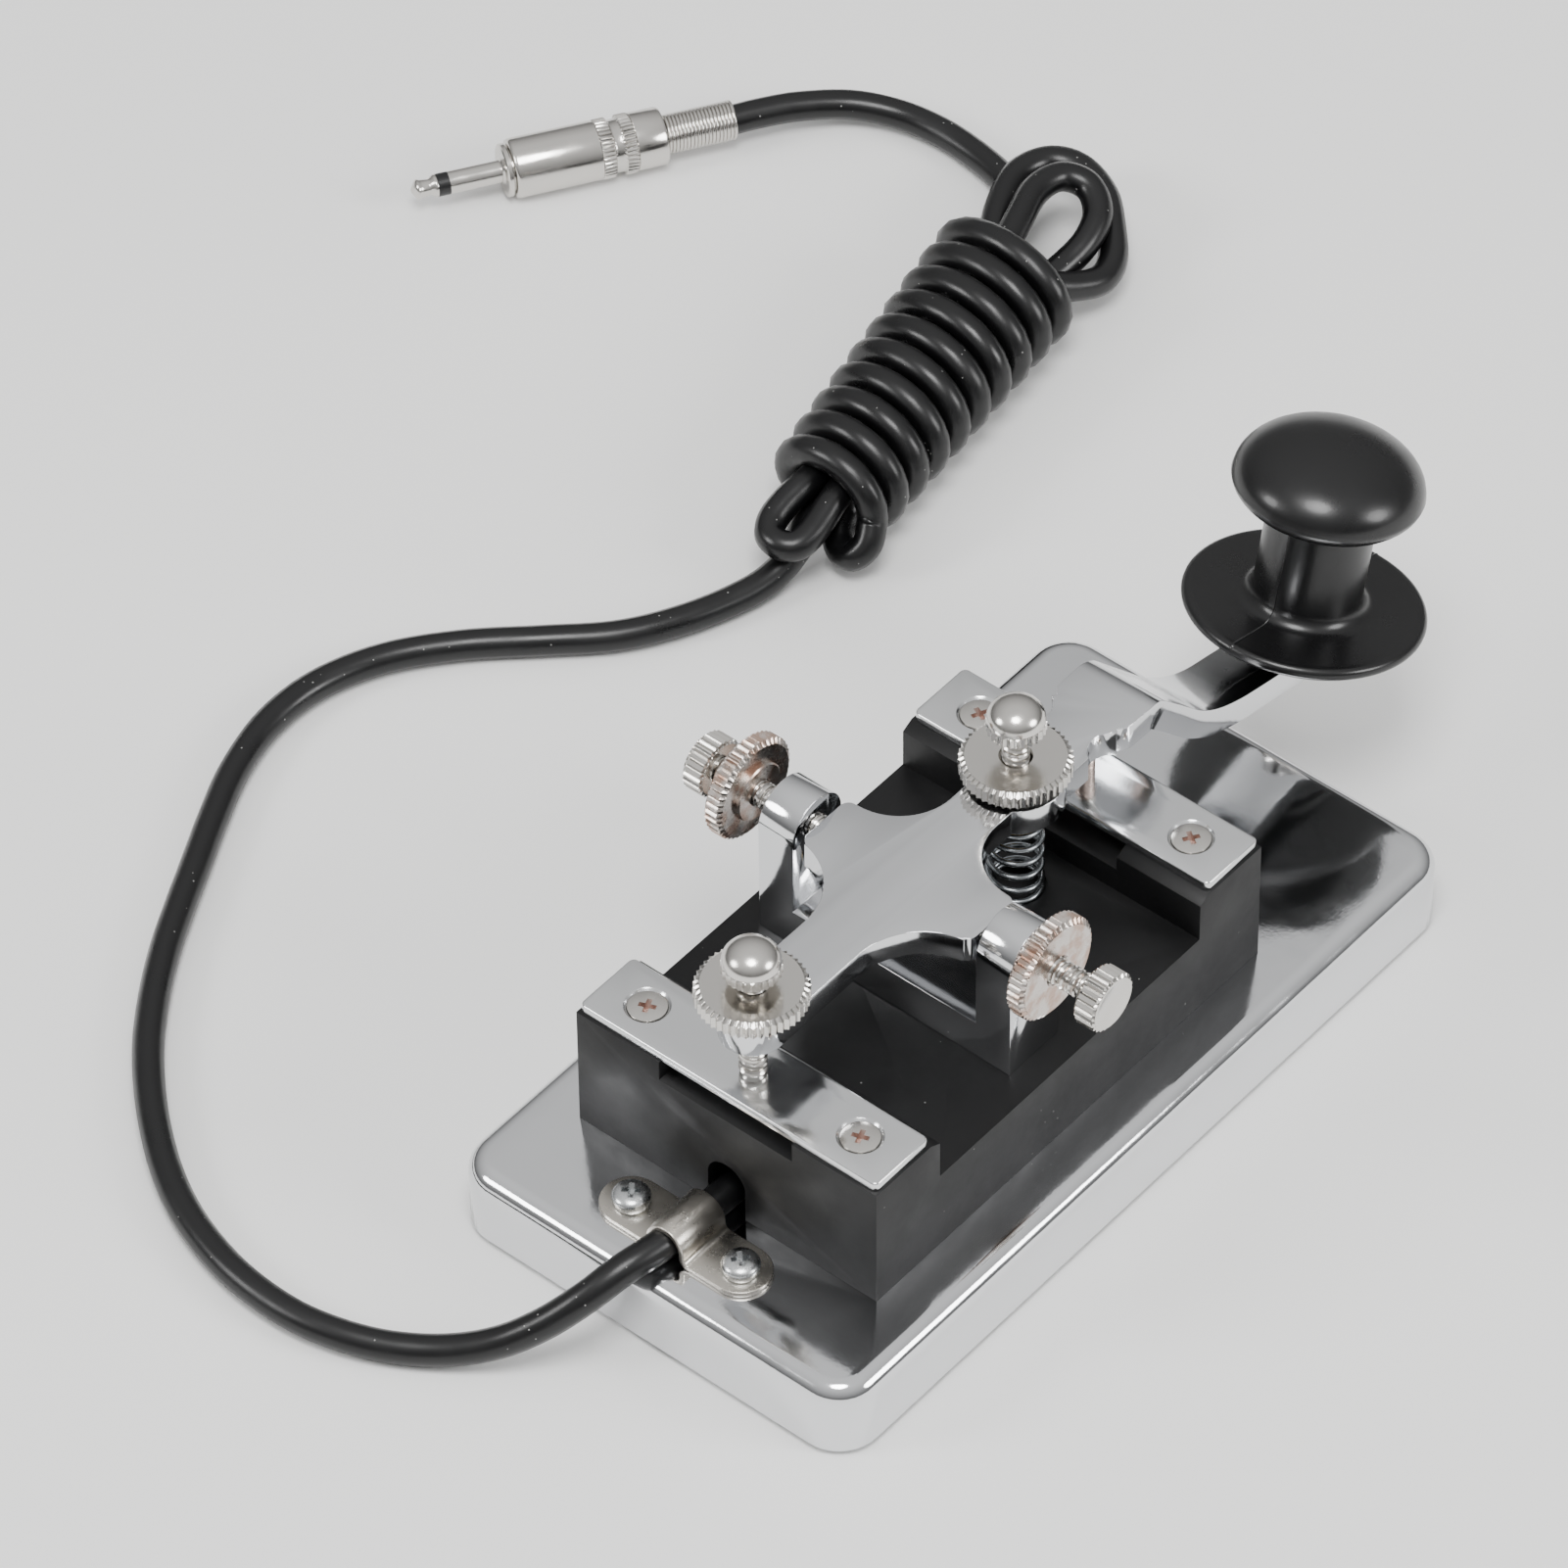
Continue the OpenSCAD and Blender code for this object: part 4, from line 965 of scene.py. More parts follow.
@dataclass
class Studio:
    """Pale sweep, bright surround and soft lights."""

    softboxes: Sequence[Softbox] = (
        Softbox("overhead_softbox", (-0.25, 0.35, 1.3), 0.55, 14.0),
        Softbox("side_softbox", (-1.2, -0.5, 0.7), 0.6, 11.0),
        Softbox("front_softbox", (0.8, 1.0, 0.8), 0.5, 8.0),
    )
    surround: float = 0.95
    low_glow: float = 0.2
    floor_r: float = 6.0

    def build(self) -> None:
        """Makes the surround, the floor and the lights."""
        world = bpy.data.worlds.new("pale_surround")
        world.use_nodes = True
        world.node_tree.nodes.clear()
        place = add_node(world.node_tree, "ShaderNodeTexCoord").outputs["Generated"]
        height = add_node(world.node_tree, "ShaderNodeSeparateXYZ", {0: place}).outputs[2]
        glow = add_node(world.node_tree, "ShaderNodeMapRange", {
            "Value": height, 1: 0.1, 2: 0.9, 3: self.low_glow, 4: self.surround,
        })
        sky = add_node(world.node_tree, "ShaderNodeBackground", {
            "Color": linear("#FAFAFA"), "Strength": glow.outputs[0],
        })
        add_node(world.node_tree, "ShaderNodeOutputWorld", {"Surface": sky.outputs[0]})
        bpy.context.scene.world = world
        bm = bmesh.new()
        bmesh.ops.create_circle(bm, cap_ends=True, segments=64, radius=self.floor_r)
        floor = loose_object(mesh_from(bm, "floor"), "floor")
        floor.data.materials.append(FLOOR.material())
        for softbox in self.softboxes:
            softbox.build()


# ---- The cord ----


@dataclass
class Cord:
    """The cord's whole route: out of the block, along the table, wound in a hank, and to the plug.

    All sizes are in millimetres. In the hank's own frame, a runs along it from its near end, b across it and z up.
    """

    diameter: float = 4.6
    exit: Point = (0.4, 49.4, 15.4)
    near: Point = (79.7, -68.9)
    turns: float = 9.5
    pitch: float = 5.6
    first_turn: float = -1.5
    narrow: Point = (7.9, 6.7)
    wide: Point = (10.5, 7.2)
    run: Sequence[Point] = (
        (0.2, 42.95, 15.5), (0.4, 46.95, 15.5), (0.6, 51.95, 15.5), (0.8, 56.95, 15.4), (1.4, 62.45, 15.4),
        (2.8, 68, 14.7),
        (5, 73, 12), (8.5, 77.5, 8.2), (13, 81.8, 4.9), (18.5, 86, 3), (25, 90, 2.4), (32, 92.8, 2.4),
        (40, 94.2, 2.4), (50, 93.6, 2.4), (60, 90.8, 2.4), (69, 86.2, 2.4), (78, 79.4, 2.4), (86, 71.6, 2.4),
        (92, 64, 2.4), (97.5, 55.5, 2.4), (101.5, 48, 2.4), (105.5, 40, 2.4), (109.5, 32, 2.4), (113.5, 23, 2.4),
        (116, 13, 2.4), (115.6, 3, 2.4), (111.8, -7, 2.4), (105, -16, 2.4), (96.5, -24.2, 2.4), (89, -31.6, 2.4),
        (84, -39.5, 2.4), (80.6, -48, 2.4), (79, -54.5, 3), (78.8, -60, 5),
    )
    loop_a: Sequence[Point] = (
        (52, 3.6, 7.6), (58, 6.4, 7.9), (64.8, 9.1, 8), (72, 10.4, 8), (77.4, 8.2, 7.8), (79, 3.4, 7.4), (76, -2.5, 6.8),
        (70.5, -6.9, 6.2), (65.6, -9.8, 5.6), (60.8, -10.4, 5.8), (56.2, -8.2, 7.2), (52, -5.2, 9.4),
    )
    loop_b: Sequence[Point] = (
        (52, 1.8, 12.2), (59.4, 2.9, 12.5), (66.6, 4, 12.4), (71.6, 2.4, 12), (72.7, -1.6, 11), (69.6, -5, 9.6),
        (64.6, -5.8, 8.2), (59, -4.6, 6.8), (53, -3, 6.6),
    )
    small_loop: Sequence[Point] = (
        (1, -2.2, 11.2), (-3, -2, 10.6), (-6.6, -2, 9.7), (-9.7, -1.8, 9), (-12, -0.9, 8.6), (-12.9, 1.2, 8.6),
        (-12, 3.3, 8.8), (-9.7, 4.2, 9.4), (-6.4, 3.9, 10.3), (-3, 3.1, 11), (1, 2.5, 11.2),
    )
    way_out: Sequence[Point] = (
        (1, -2.4, 6.2), (-2.2, -2.6, 5.1), (-5, -4.1, 4.1), (-6, -6.8, 4.3), (-4.4, -8.5, 6.2),
    )
    leave: Sequence[Point] = (
        (100.2, -121, 4.8), (100.8, -126, 2.6), (100.6, -131.5, 2.4), (101.6, -136.5, 2.4),
    )
    tail: Sequence[Point] = (
        (104, -139.6, 2.4), (107, -141.4, 2.5), (113, -142.8, 2.4), (120, -143.3, 2.5), (127, -142, 3),
        (133.5, -138.4, 3.8), (139, -132.6, 4.4), (142.6, -127.3, 4.6), (144.5, -124.1, 4.6), (148.3, -118.1, 4.6),
    )

    def in_hank(self, a: float, b: float, z: float) -> Point:
        """Returns the place of a point of the hank's own frame."""
        return (self.near[0] + 0.1638 * a + 0.9865 * b, self.near[1] - 0.9865 * a + 0.1638 * b, z)

    def strand(self, start: Point, end: Point, backwards: bool = False) -> list[Point]:
        """Returns one straight strand inside the windings, from the near end unless it runs backwards."""
        places = []
        for i in range(5):
            t = i / 4
            b, z = (start[k] + (end[k] - start[k]) * t for k in (0, 1))
            places.append(self.in_hank(5 + 42 * t, b, z))
        return places[::-1] if backwards else places

    def windings(self) -> list[Point]:
        """Returns the turns wound round the strands, 24 points to each."""
        places = []
        count = round(self.turns * 24)
        for i in range(count + 1):
            t = i / count
            angle = math.pi - 2 * math.pi * self.turns * t
            half_w = self.narrow[0] + (self.wide[0] - self.narrow[0]) * t
            half_h = self.narrow[1] + (self.wide[1] - self.narrow[1]) * t
            b = half_w * math.cos(angle)
            a = self.first_turn + self.turns * self.pitch * t + (0.05 + 0.05 * t) * b
            places.append(self.in_hank(a, b, self.diameter / 2 + half_h * (1 + math.sin(angle))))
        return places

    def route(self) -> list[Vector]:
        """Returns the centre line from the block to the plug."""
        lead_in = [self.in_hank(-6, 1.4, 5.6), self.in_hank(-2.5, 2.1, 6.2), self.in_hank(1, 2.3, 6.8)]
        loose = [
            *self.run, *lead_in, *self.strand((2.3, 6.8), (2.3, 7.2)), *(self.in_hank(*p) for p in self.loop_a),
            *self.strand((-2.3, 11), (-2.5, 11.6), True), *(self.in_hank(*p) for p in self.small_loop),
            *self.strand((2.3, 11), (1.8, 11.7)), *(self.in_hank(*p) for p in self.loop_b),
            *self.strand((-2.3, 6.8), (-2.4, 7.2), True), *(self.in_hank(*p) for p in self.way_out),
        ]
        wound = self.windings()
        first = smooth([*loose, *wound[:2]], 6)[:-6]
        last = smooth([*wound[-2:], *self.leave, *self.tail], 6)[6:]
        return [*first, *(Vector(p) for p in wound[1:-1]), *last]

    def build(self) -> tuple[bpy.types.Object, float]:
        """Makes the cord as a curve and returns it with its length in metres."""
        line = self.route()
        curve = bpy.data.curves.new("cord", "CURVE")
        curve.dimensions, curve.fill_mode, curve.use_fill_caps = "3D", "FULL", True
        curve.bevel_depth, curve.bevel_resolution = self.diameter / 2 * MM, 4
        spline = curve.splines.new("POLY")
        spline.points.add(len(line) - 1)
        for point, place in zip(spline.points, line):
            point.co = (*(place * MM), 1)
        spline.use_smooth = True
        curve.materials.append(PVC.material())
        thing = bpy.data.objects.new("cord", curve)
        bpy.context.scene.collection.objects.link(thing)
        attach(thing, "key_base")
        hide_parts("cord_run", "cord_hank", "cord_tail")
        length = sum((b - a).length for a, b in zip(line, line[1:])) * MM
        LOG.info("cord rides on key_base, %.3f m long", length)
        return thing, length


@dataclass
class Plug:
    """Moulded-pin plug: coiled strain relief, knurled barrel, flange, sleeve, ring and tip.

    Lengths run from the relief's end towards the tip.
    """

    trees: dict[str, ShapeTree]
    place: Point = (144.5, -124.1, 4.6)
    heading: float = 57.5
    relief_l: float = 11.4
    relief_r: float = 3.1
    relief_turns: float = 19.0
    barrel_l: float = 23.8
    barrel_r: float = 4.6
    flange_l: float = 0.9
    flange_r: float = 4.1
    pin_r: float = 1.75
    sleeve_l: float = 8.4
    ring_l: float = 1.8
    tip_l: float = 4.0
    ridges: int = 44

    @property
    def frame(self) -> Matrix:
        """The plug's own frame: +z runs from the cord to the tip."""
        a = math.radians(self.heading)
        return axis_frame(self.place, (math.cos(a), math.sin(a), 0))

    def turned(self, name: str, profile: Sequence[Point], at: float, steps: int = 48) -> bpy.types.Mesh:
        """Returns a turned piece of the plug, at a length along it."""
        mesh = mesh_from(lathe(profile, steps), name)
        mesh.transform(self.frame @ Matrix.Translation((0, 0, at)))
        return mesh

    def barrel(self) -> bpy.types.Mesh:
        """Returns the barrel, with its two knurled bands and the groove between them."""
        r, end = self.barrel_r, self.barrel_l
        profile = [
            (2.45, 0, 0), (r - 0.55, 0, 0), (r - 0.3, 0.1, 0), (r - 0.1, 0.45, 0), (r - 0.1, 4.7, 0), (r - 0.25, 4.8, 0),
            (r, 4.95, 1), (r, 6.55, 1), (r - 0.45, 6.75, 0), (r - 0.5, 7.0, 0), (r - 0.5, 7.9, 0), (r - 0.45, 8.15, 0),
            (r, 8.35, 1), (r, 10.1, 1), (r - 0.2, 10.25, 0), (r - 0.03, 10.4, 0), (r, 10.7, 0), (r, end - 0.6, 0),
            (r - 0.15, end - 0.2, 0), (r - 0.45, end, 0), (2.3, end, 0), (2.3, 1, 0),
        ]
        blank = gripped(profile, self.ridges)
        mesh = self.trees["knurl"].grow("plug_barrel_shell", NICKEL, blank, Ridges=self.ridges, Depth=0.28)
        mesh.transform(self.frame @ Matrix.Translation((0, 0, self.relief_l)))
        return mesh

    def relief(self) -> bpy.types.Mesh:
        """Returns the strain relief, a close coil round the cord."""
        pitch = self.relief_l / (self.relief_turns + 1)
        wire = pitch * 0.52
        mesh = self.trees["coil"].grow(
            "plug_relief_coil", NICKEL, Turns=self.relief_turns, Radius=self.relief_r - wire,
            Height=self.relief_l - 2 * wire, Wire=wire, Flat_Turns=0.0, Flat_Share=1.0, Sides=8, Steps=36,
        )
        mesh.transform(self.frame @ Matrix.Translation((0, 0, wire)))
        return mesh

    def build(self) -> list[bpy.types.Object]:
        """Builds and places the plug's pieces, and returns them."""
        flange_at = self.relief_l + self.barrel_l + 0.3
        sleeve_at = flange_at + self.flange_l
        ring_at = sleeve_at + self.sleeve_l
        tip_at = ring_at + self.ring_l
        f, p = self.flange_r, self.pin_r
        sleeve = [
            (0, -0.4), (f - 0.7, -0.4), (f - 0.7, 0), (f - 0.15, 0), (f, 0.15), (f, self.flange_l - 0.2),
            (f - 0.25, self.flange_l), (p + 0.35, self.flange_l), (p, self.flange_l + 0.3),
            (p, self.flange_l + self.sleeve_l), (0, self.flange_l + self.sleeve_l),
        ]
        ring = [(0, 0), (p, 0), (p, self.ring_l), (0, self.ring_l)]
        tip = rounded([
            (0, 0), (p, 0), (p, 0.45), (p * 0.7, 1.15), (p * 0.8, 2.5), (p * 0.93, 2.95), (p * 0.75, 3.35),
            (0.3, self.tip_l), (0, self.tip_l),
        ], 0.16, 2)
        made = [
            Piece("plug_relief_coil", self.relief(), NICKEL, "key_base", "plug", ["plug_relief"], 60),
            Piece("plug_barrel_shell", self.barrel(), NICKEL, "key_base", "plug", ["plug_barrel"], 38),
            Piece("plug_pin_sleeve", self.turned("plug_pin_sleeve", sleeve, flange_at), NICKEL, "key_base", "plug",
                  ["plug_sleeve"]),
            Piece("plug_pin_ring", self.turned("plug_pin_ring", ring, ring_at), NYLON, "key_base", "plug_ring",
                  ["plug_insulator"]),
            Piece("plug_pin_tip", self.turned("plug_pin_tip", tip, tip_at), NICKEL, "key_base", "plug", ["plug_tip"]),
        ]
        return [piece.place() for piece in made]


# ---- Base ----


def rounded_rectangle(width: float, length: float, corner: float, centre_y: float = 0.0, steps: int = 9) -> list[Point]:
    """Returns a rectangle with round corners, as points in x and y."""
    x, y = width / 2 - corner, length / 2 - corner
    outline = []
    for (cx, cy), start in zip(((x, y), (-x, y), (-x, -y), (x, -y)), (0, 90, 180, 270)):
        outline += arc((cx, cy + centre_y), corner, start, start + 90, steps)
    return outline


def ring_stack(rings: Sequence[tuple[Sequence[Point], float]]) -> bmesh.types.BMesh:
    """Skins outlines of equal point counts, each at its own height, and caps both ends."""
    bm = bmesh.new()
    loops = [[bm.verts.new((x, y, z)) for x, y in outline] for outline, z in rings]
    for low, high in zip(loops, loops[1:]):
        for i in range(len(low)):
            j = (i + 1) % len(low)
            bm.faces.new((low[i], low[j], high[j], high[i]))
    bm.faces.new(loops[0][::-1])
    bm.faces.new(loops[-1])
    bmesh.ops.recalc_face_normals(bm, faces=bm.faces)
    return bm


@dataclass
class Base:
    """Chromed base casting on a rubber pad."""

    corner: float = 6.5
    edge: float = 2.8
    rim: float = 3.5
    wall: float = 6.0
    plate_t: float = 5.6
    recess: float = 2.0
    casting: Span = field(default_factory=lambda: Span.of("base_casting"))
    pad: Span = field(default_factory=lambda: Span.of("base_pad"))

    def outline(self, inset: float) -> list[Point]:
        """Returns the casting's outline, moved inwards."""
        size = self.casting.size
        return rounded_rectangle(size.x - 2 * inset, size.y - 2 * inset, max(self.corner - inset, 0.8))

    def casting_mesh(self) -> bpy.types.Mesh:
        """Returns the casting, from its sunk underside out and up to its rounded top edge."""
        low, top = self.casting.low.z, self.casting.high.z
        sunk = low + self.recess
        rings = [
            (self.wall, top - self.plate_t), (self.wall, sunk), (self.rim, sunk), (self.rim, low), (0.7, low),
            (0.2, low + 0.2), (0, low + 0.7),
        ]
        for i in range(9):
            a = math.radians(90 * i / 8)
            rings.append((self.edge * (1 - math.cos(a)), top - self.edge * (1 - math.sin(a))))
        return mesh_from(ring_stack([(self.outline(inset), z) for inset, z in rings]), "base_casting_shell")

    def pad_mesh(self) -> bpy.types.Mesh:
        """Returns the pad, with soft rims."""
        size, high = self.pad.size, self.pad.high.z
        rings = [(0.5, 0), (0.12, 0.12), (0, 0.5), (0, high - 0.4), (0.4, high)]
        return mesh_from(ring_stack([
            (rounded_rectangle(size.x - 2 * d, size.y - 2 * d, 3.0), z) for d, z in rings
        ]), "base_pad_sheet")

    def build(self) -> None:
        """Builds both."""
        Piece("base_casting_shell", self.casting_mesh(), CHROME, "key_base", "base", ["base_casting"], 50).place()
        Piece("base_pad_sheet", self.pad_mesh(), RUBBER, "key_base", "pad", ["base_pad"]).place()


# ---- Contact block and what is screwed to it ----


@dataclass
class Block:
    """Moulded contact block with two chromed bars, the fixed contact and the trunnion bracket."""

    trees: dict[str, ShapeTree]
    bar_corner: float = 0.9
    screw_pitch: float = 37.2
    screw_l: float = 9.0
    rear: Span = field(default_factory=lambda: Span.of("rear_bar"))
    front: Span = field(default_factory=lambda: Span.of("front_bar"))
    contact: Span = field(default_factory=lambda: Span.of("fixed_contact"))

    def bar(self, name: str, span: Span) -> bpy.types.Mesh:
        """Returns one bar, with rounded rims and two countersunk holes."""
        size = span.size
        mesh = mesh_from(plate(rounded_rectangle(size.x, size.y, self.bar_corner, 0, 4), size.z, 0.28), name)
        for side in (-1, 1):
            profile = [(0, -3), (1.6, -3), (1.6, -1.55), (3.1, -0.14), (3.3, 0.0), (3.3, 1), (0, 1)]
            hole = mesh_from(lathe(profile, 40), "countersink")
            hole.transform(Matrix.Translation((side * self.screw_pitch / 2, 0, 0)))
            mesh = carved(mesh, hole)
        mesh.transform(Matrix.Translation((span.centre.x, span.centre.y, span.high.z)))
        return mesh

    def screws(self) -> bpy.types.Mesh:
        """Returns the four countersunk screws."""
        middle = (self.rear.centre + self.front.centre) / 2
        return self.trees["screws"].grow(
            "bar_screw_heads", NICKEL, flat_screw(self.screw_l), Columns=2, Rows=2, Width=self.screw_pitch,
            Length=self.rear.centre.y - self.front.centre.y, Centre=(middle.x, middle.y, self.rear.high.z - 0.12),
            Seed=4, Recess=COPPER.material(),
        )

    def contact_mesh(self) -> bpy.types.Mesh:
        """Returns the fixed contact, with a step and a softened face."""
        low, high = self.contact.low.z, self.contact.high.z
        seat = self.front.high.z
        profile = [
            (0, low), (0.95, low), (0.95, seat), (1.4, seat), (1.4, high - 1.3), (1.28, high - 1.2),
            (1.28, high - 1.05), (1.4, high - 0.95), (1.4, high - 0.25), (1.2, high), (0, high),
        ]
        mesh = mesh_from(lathe(profile, 40), "fixed_contact_pin")
        mesh.transform(Matrix.Translation((self.contact.centre.x, self.contact.centre.y, 0)))
        return mesh

    def build(self) -> None:
        """Builds and places all of it."""
        Piece("contact_block_shell", bevelled_copy("contact_block", 0.3, 2), PHENOLIC, "key_base", "block",
              ["contact_block"], 40).place()
        Piece("rear_bar_strip", self.bar("rear_bar_strip", self.rear), STRIP_CHROME, "key_base", "bar",
              ["rear_bar"], 35).place()
        Piece("front_bar_strip", self.bar("front_bar_strip", self.front), STRIP_CHROME, "key_base", "bar",
              ["front_bar"], 35).place()
        Piece("bar_screw_heads", self.screws(), NICKEL, "key_base", "screw", ["bar_screws"], 35,
              True).place()
        Piece("fixed_contact_pin", self.contact_mesh(), COPPER_ALLOY, "key_base", "contact",
              ["fixed_contact"]).place()
        Piece("trunnion_bracket_casting", bevelled_copy("trunnion_bracket", 0.4, 3), CHROME, "key_base", "bracket",
              ["trunnion_bracket"], 40).place()


@dataclass
class Clamp:
    """Bent strip that holds the cord, with its two pan head screws."""

    trees: dict[str, ShapeTree]
    centre: Point = (0.8, 56.95)
    base_z: float = 13.0
    width: float = 8.9
    thickness: float = 0.9
    pitch: float = 19.3
    saddle_r: float = 3.3
    cord_rise: float = 2.4
    fold_r: float = 0.9
    screw_l: float = 5.5

    def side_view(self) -> list[Vector]:
        """Returns the strip's upper face from end to end, over the saddle."""
        r, f, t, up = self.saddle_r, self.fold_r, self.thickness, self.cord_rise
        reach = self.pitch / 2 + self.width / 2
        fold = arc((-r - f, t + f), f, -90, 0, 5)
        over = arc((0, up), r, 180, 0, 16)
        left = [(-reach, t), (-reach + 3, t), *fold]
        if fold[-1][1] > up:
            over = [p for p in over if p[1] > fold[-1][1] - 0.01]
        right = [(-x, z) for x, z in reversed(left)]
        return [Vector(p) for p in (*left, *over, *right)]

    def strip(self) -> bpy.types.Mesh:
        """Returns the strip, cut flat and then bent."""
        line = self.side_view()
        line = [p for i, p in enumerate(line) if i == 0 or (p - line[i - 1]).length > 0.02]
        flat = [0.0]
        for before, here in zip(line, line[1:]):
            flat.append(flat[-1] + (here - before).length)
        half = flat[-1] / 2
        flat = [s - half for s in flat]
        r = self.width / 2
        ends = [*arc((half - r, 0), r, -90, 90, 20), *arc((-half + r, 0), r, 90, 270, 20)]
        bm = plate([(y, x) for x, y in ends], self.thickness, 0.16, flat[1:-1])
        bmesh.ops.rotate(bm, verts=bm.verts, cent=(0, 0, 0), matrix=Matrix.Rotation(math.radians(-90), 3, "Z"))
        Bend(line, flat).apply(bm, 0)
        mesh = mesh_from(bm, "cord_clamp_strip")
        mesh.transform(Matrix.Translation((*self.centre, self.base_z)))
        return mesh

    def screws(self) -> bpy.types.Mesh:
        """Returns the two pan head screws."""
        return self.trees["screws"].grow(
            "clamp_screw_heads", ZINC, pan_screw(self.screw_l), Columns=2, Rows=1, Width=self.pitch, Length=0.0,
            Centre=(*self.centre, self.base_z + self.thickness), Seed=11, Recess=ZINC.material(),
        )

    def build(self) -> None:
        """Builds and places both."""
        Piece("cord_clamp_strip", self.strip(), SATIN_NICKEL, "key_base", "clamp", ["cord_clamp"], 40).place()
        Piece("clamp_screw_heads", self.screws(), ZINC, "key_base", "screw", ["clamp_screws"], 35, True).place()


# ---- Lever ----


@dataclass
class Lever:
    """Chromed lever: cross-shaped body, bored boss, waist, and the finger that bends down to the knob."""

    pivot: Point = (10.8, 45.9)
    thickness: float = 4.4
    gap_y: float = 43.45
    boss_y: float = -12.2
    contact_y: float = -27.45
    finger_y: float = -75.6
    bend_y: float = -35.8
    bend_drop: float = 15.8
    bend_slope: float = 47.0
    finger_slope: float = 13.0
    crest_r: float = 5.0
    sweep_r: float = 25.0
    arm_span: float = 29.6
    arm_w: float = 10.0
    rear_w: float = 9.5
    neck_w: float = 8.0
    boss_w: float = 14.0
    waist_w: float = 7.8
    lobe_w: float = 12.6
    finger_w: float = 9.5
    edge: float = 0.55

    @property
    def top(self) -> float:
        """Height of the flat upper face."""
        return self.pivot[1] + self.thickness / 2

    @property
    def foot(self) -> Vector:
        """Corner at which the bend meets the finger."""
        return Vector((self.bend_y - self.bend_drop / math.tan(math.radians(self.bend_slope)), self.top - self.bend_drop))

    def finger_top(self, y: float) -> float:
        """Height of the finger's upper face at y."""
        return self.foot.y - (self.foot.x - y) * math.tan(math.radians(self.finger_slope))

    def outline(self) -> list[Point]:
        """Returns the lever's outline from above."""
        rear_y, front_y = self.pivot[0] + self.arm_w / 2, self.pivot[0] - self.arm_w / 2
        corner_x, b = self.arm_span / 2 - 1.5, self.bend_y
        half = [
            *arc((0, self.gap_y), self.rear_w / 2, 90, 0, 12),
            *arc((self.rear_w / 2 + 11, rear_y + 11), 11, 180, 260, 14),
            *arc((corner_x, rear_y - 1.5), 1.5, 75, 0, 5), *arc((corner_x, front_y + 1.5), 1.5, 0, -75, 5),
            *arc((self.neck_w / 2 + 9, front_y - 9), 9, 92, 180, 14),
            *arc((0, self.boss_y), self.boss_w / 2, 55, -36, 14),
            *arc((self.waist_w / 2 + 3.5, -24), 3.5, 120, 240, 10),
            *arc((self.lobe_w / 2 - 3, -30), 3, 50, 0, 6),
        ]
        flank = smooth([
            (self.lobe_w / 2, b + 4, 0), (self.lobe_w / 2, b + 1, 0), (self.finger_w / 2 + 0.8, b - 5, 0),
            (self.finger_w / 2 + 0.4, b - 11, 0), (self.finger_w / 2, b - 18, 0), (self.finger_w / 2, b - 24, 0),
        ], 3)
        half += [(p.x, p.y) for p in flank[1:]]
        half += arc((0, self.finger_y), self.finger_w / 2, 0, -90, 12)
        return mirrored(half)

    def side_view(self) -> list[Vector]:
        """Returns the upper face from the rear end to the knob's end, as [y, z]."""
        def turn(corner: Vector, start: float, end: float, r: float) -> list[Vector]:
            """Returns a rounded corner from one slope to another."""
            way = 1 if end > start else -1
            a0, a1 = math.radians(start), math.radians(end)
            begin = corner + r * math.tan(abs(a1 - a0) / 2) * Vector((math.cos(a0), math.sin(a0)))
            centre = begin + way * r * Vector((math.sin(a0), -math.cos(a0)))
            angles = [a0 + (a1 - a0) * i / 12 for i in range(13)]
            return [centre + way * r * Vector((-math.sin(a), math.cos(a))) for a in angles]

        end = self.finger_y - self.finger_w
        return [
            Vector((self.gap_y + self.rear_w, self.top)),
            *turn(Vector((self.bend_y, self.top)), 0, self.bend_slope, self.crest_r),
            *turn(self.foot, self.bend_slope, self.finger_slope, self.sweep_r),
            Vector((end, self.finger_top(end))),
        ]

    def body(self) -> bpy.types.Mesh:
        """Returns the lever: cut flat, bored, and then bent."""
        line = self.side_view()[::-1]
        blank = mesh_from(plate(self.outline(), self.thickness, self.edge), "lever_blank")
        for y in (self.gap_y, self.boss_y):
            bore = mesh_from(lathe([(0, -8), (2.06, -8), (2.06, 3), (0, 3)], 32), "stud_bore")
            bore.transform(Matrix.Translation((0, y, 0)))
            blank = carved(blank, bore)
        for side in Side:
            seat = mesh_from(lathe([(0, 0), (0.25, 0), (2.12, 2.4), (2.12, 6), (0, 6)], 32), "cone_seat")
            seat.transform(axis_frame((side.value * 12.8, self.pivot[0], -self.thickness / 2), (side.value, 0, 0)))
            blank = carved(blank, seat)
        bm = bmesh.new()
        bm.from_mesh(blank)
        rows = sorted(p.x for p in line[1:-1])
        for y in rows:
            bmesh.ops.bisect_plane(bm, geom=[*bm.verts, *bm.edges, *bm.faces], plane_co=(0, y, 0), plane_no=(0, 1, 0))
        Bend(line, [p.x for p in line]).apply(bm, 1)
        bmesh.ops.recalc_face_normals(bm, faces=bm.faces)
        return mesh_from(bm, "lever_body")

    def contact(self) -> bpy.types.Mesh:
        """Returns the lever's contact, with a softened face."""
        span = Span.of("lever_contact")
        low, under = span.low.z, self.top - self.thickness
        profile = [(0, low), (1.2, low), (1.4, low + 0.2), (1.4, under + 0.02), (0.9, under + 0.02), (0.9, span.high.z),
                   (0, span.high.z)]
        mesh = mesh_from(lathe(profile, 40), "lever_contact_pin")
        mesh.transform(Matrix.Translation((0, self.contact_y, 0)))
        return mesh

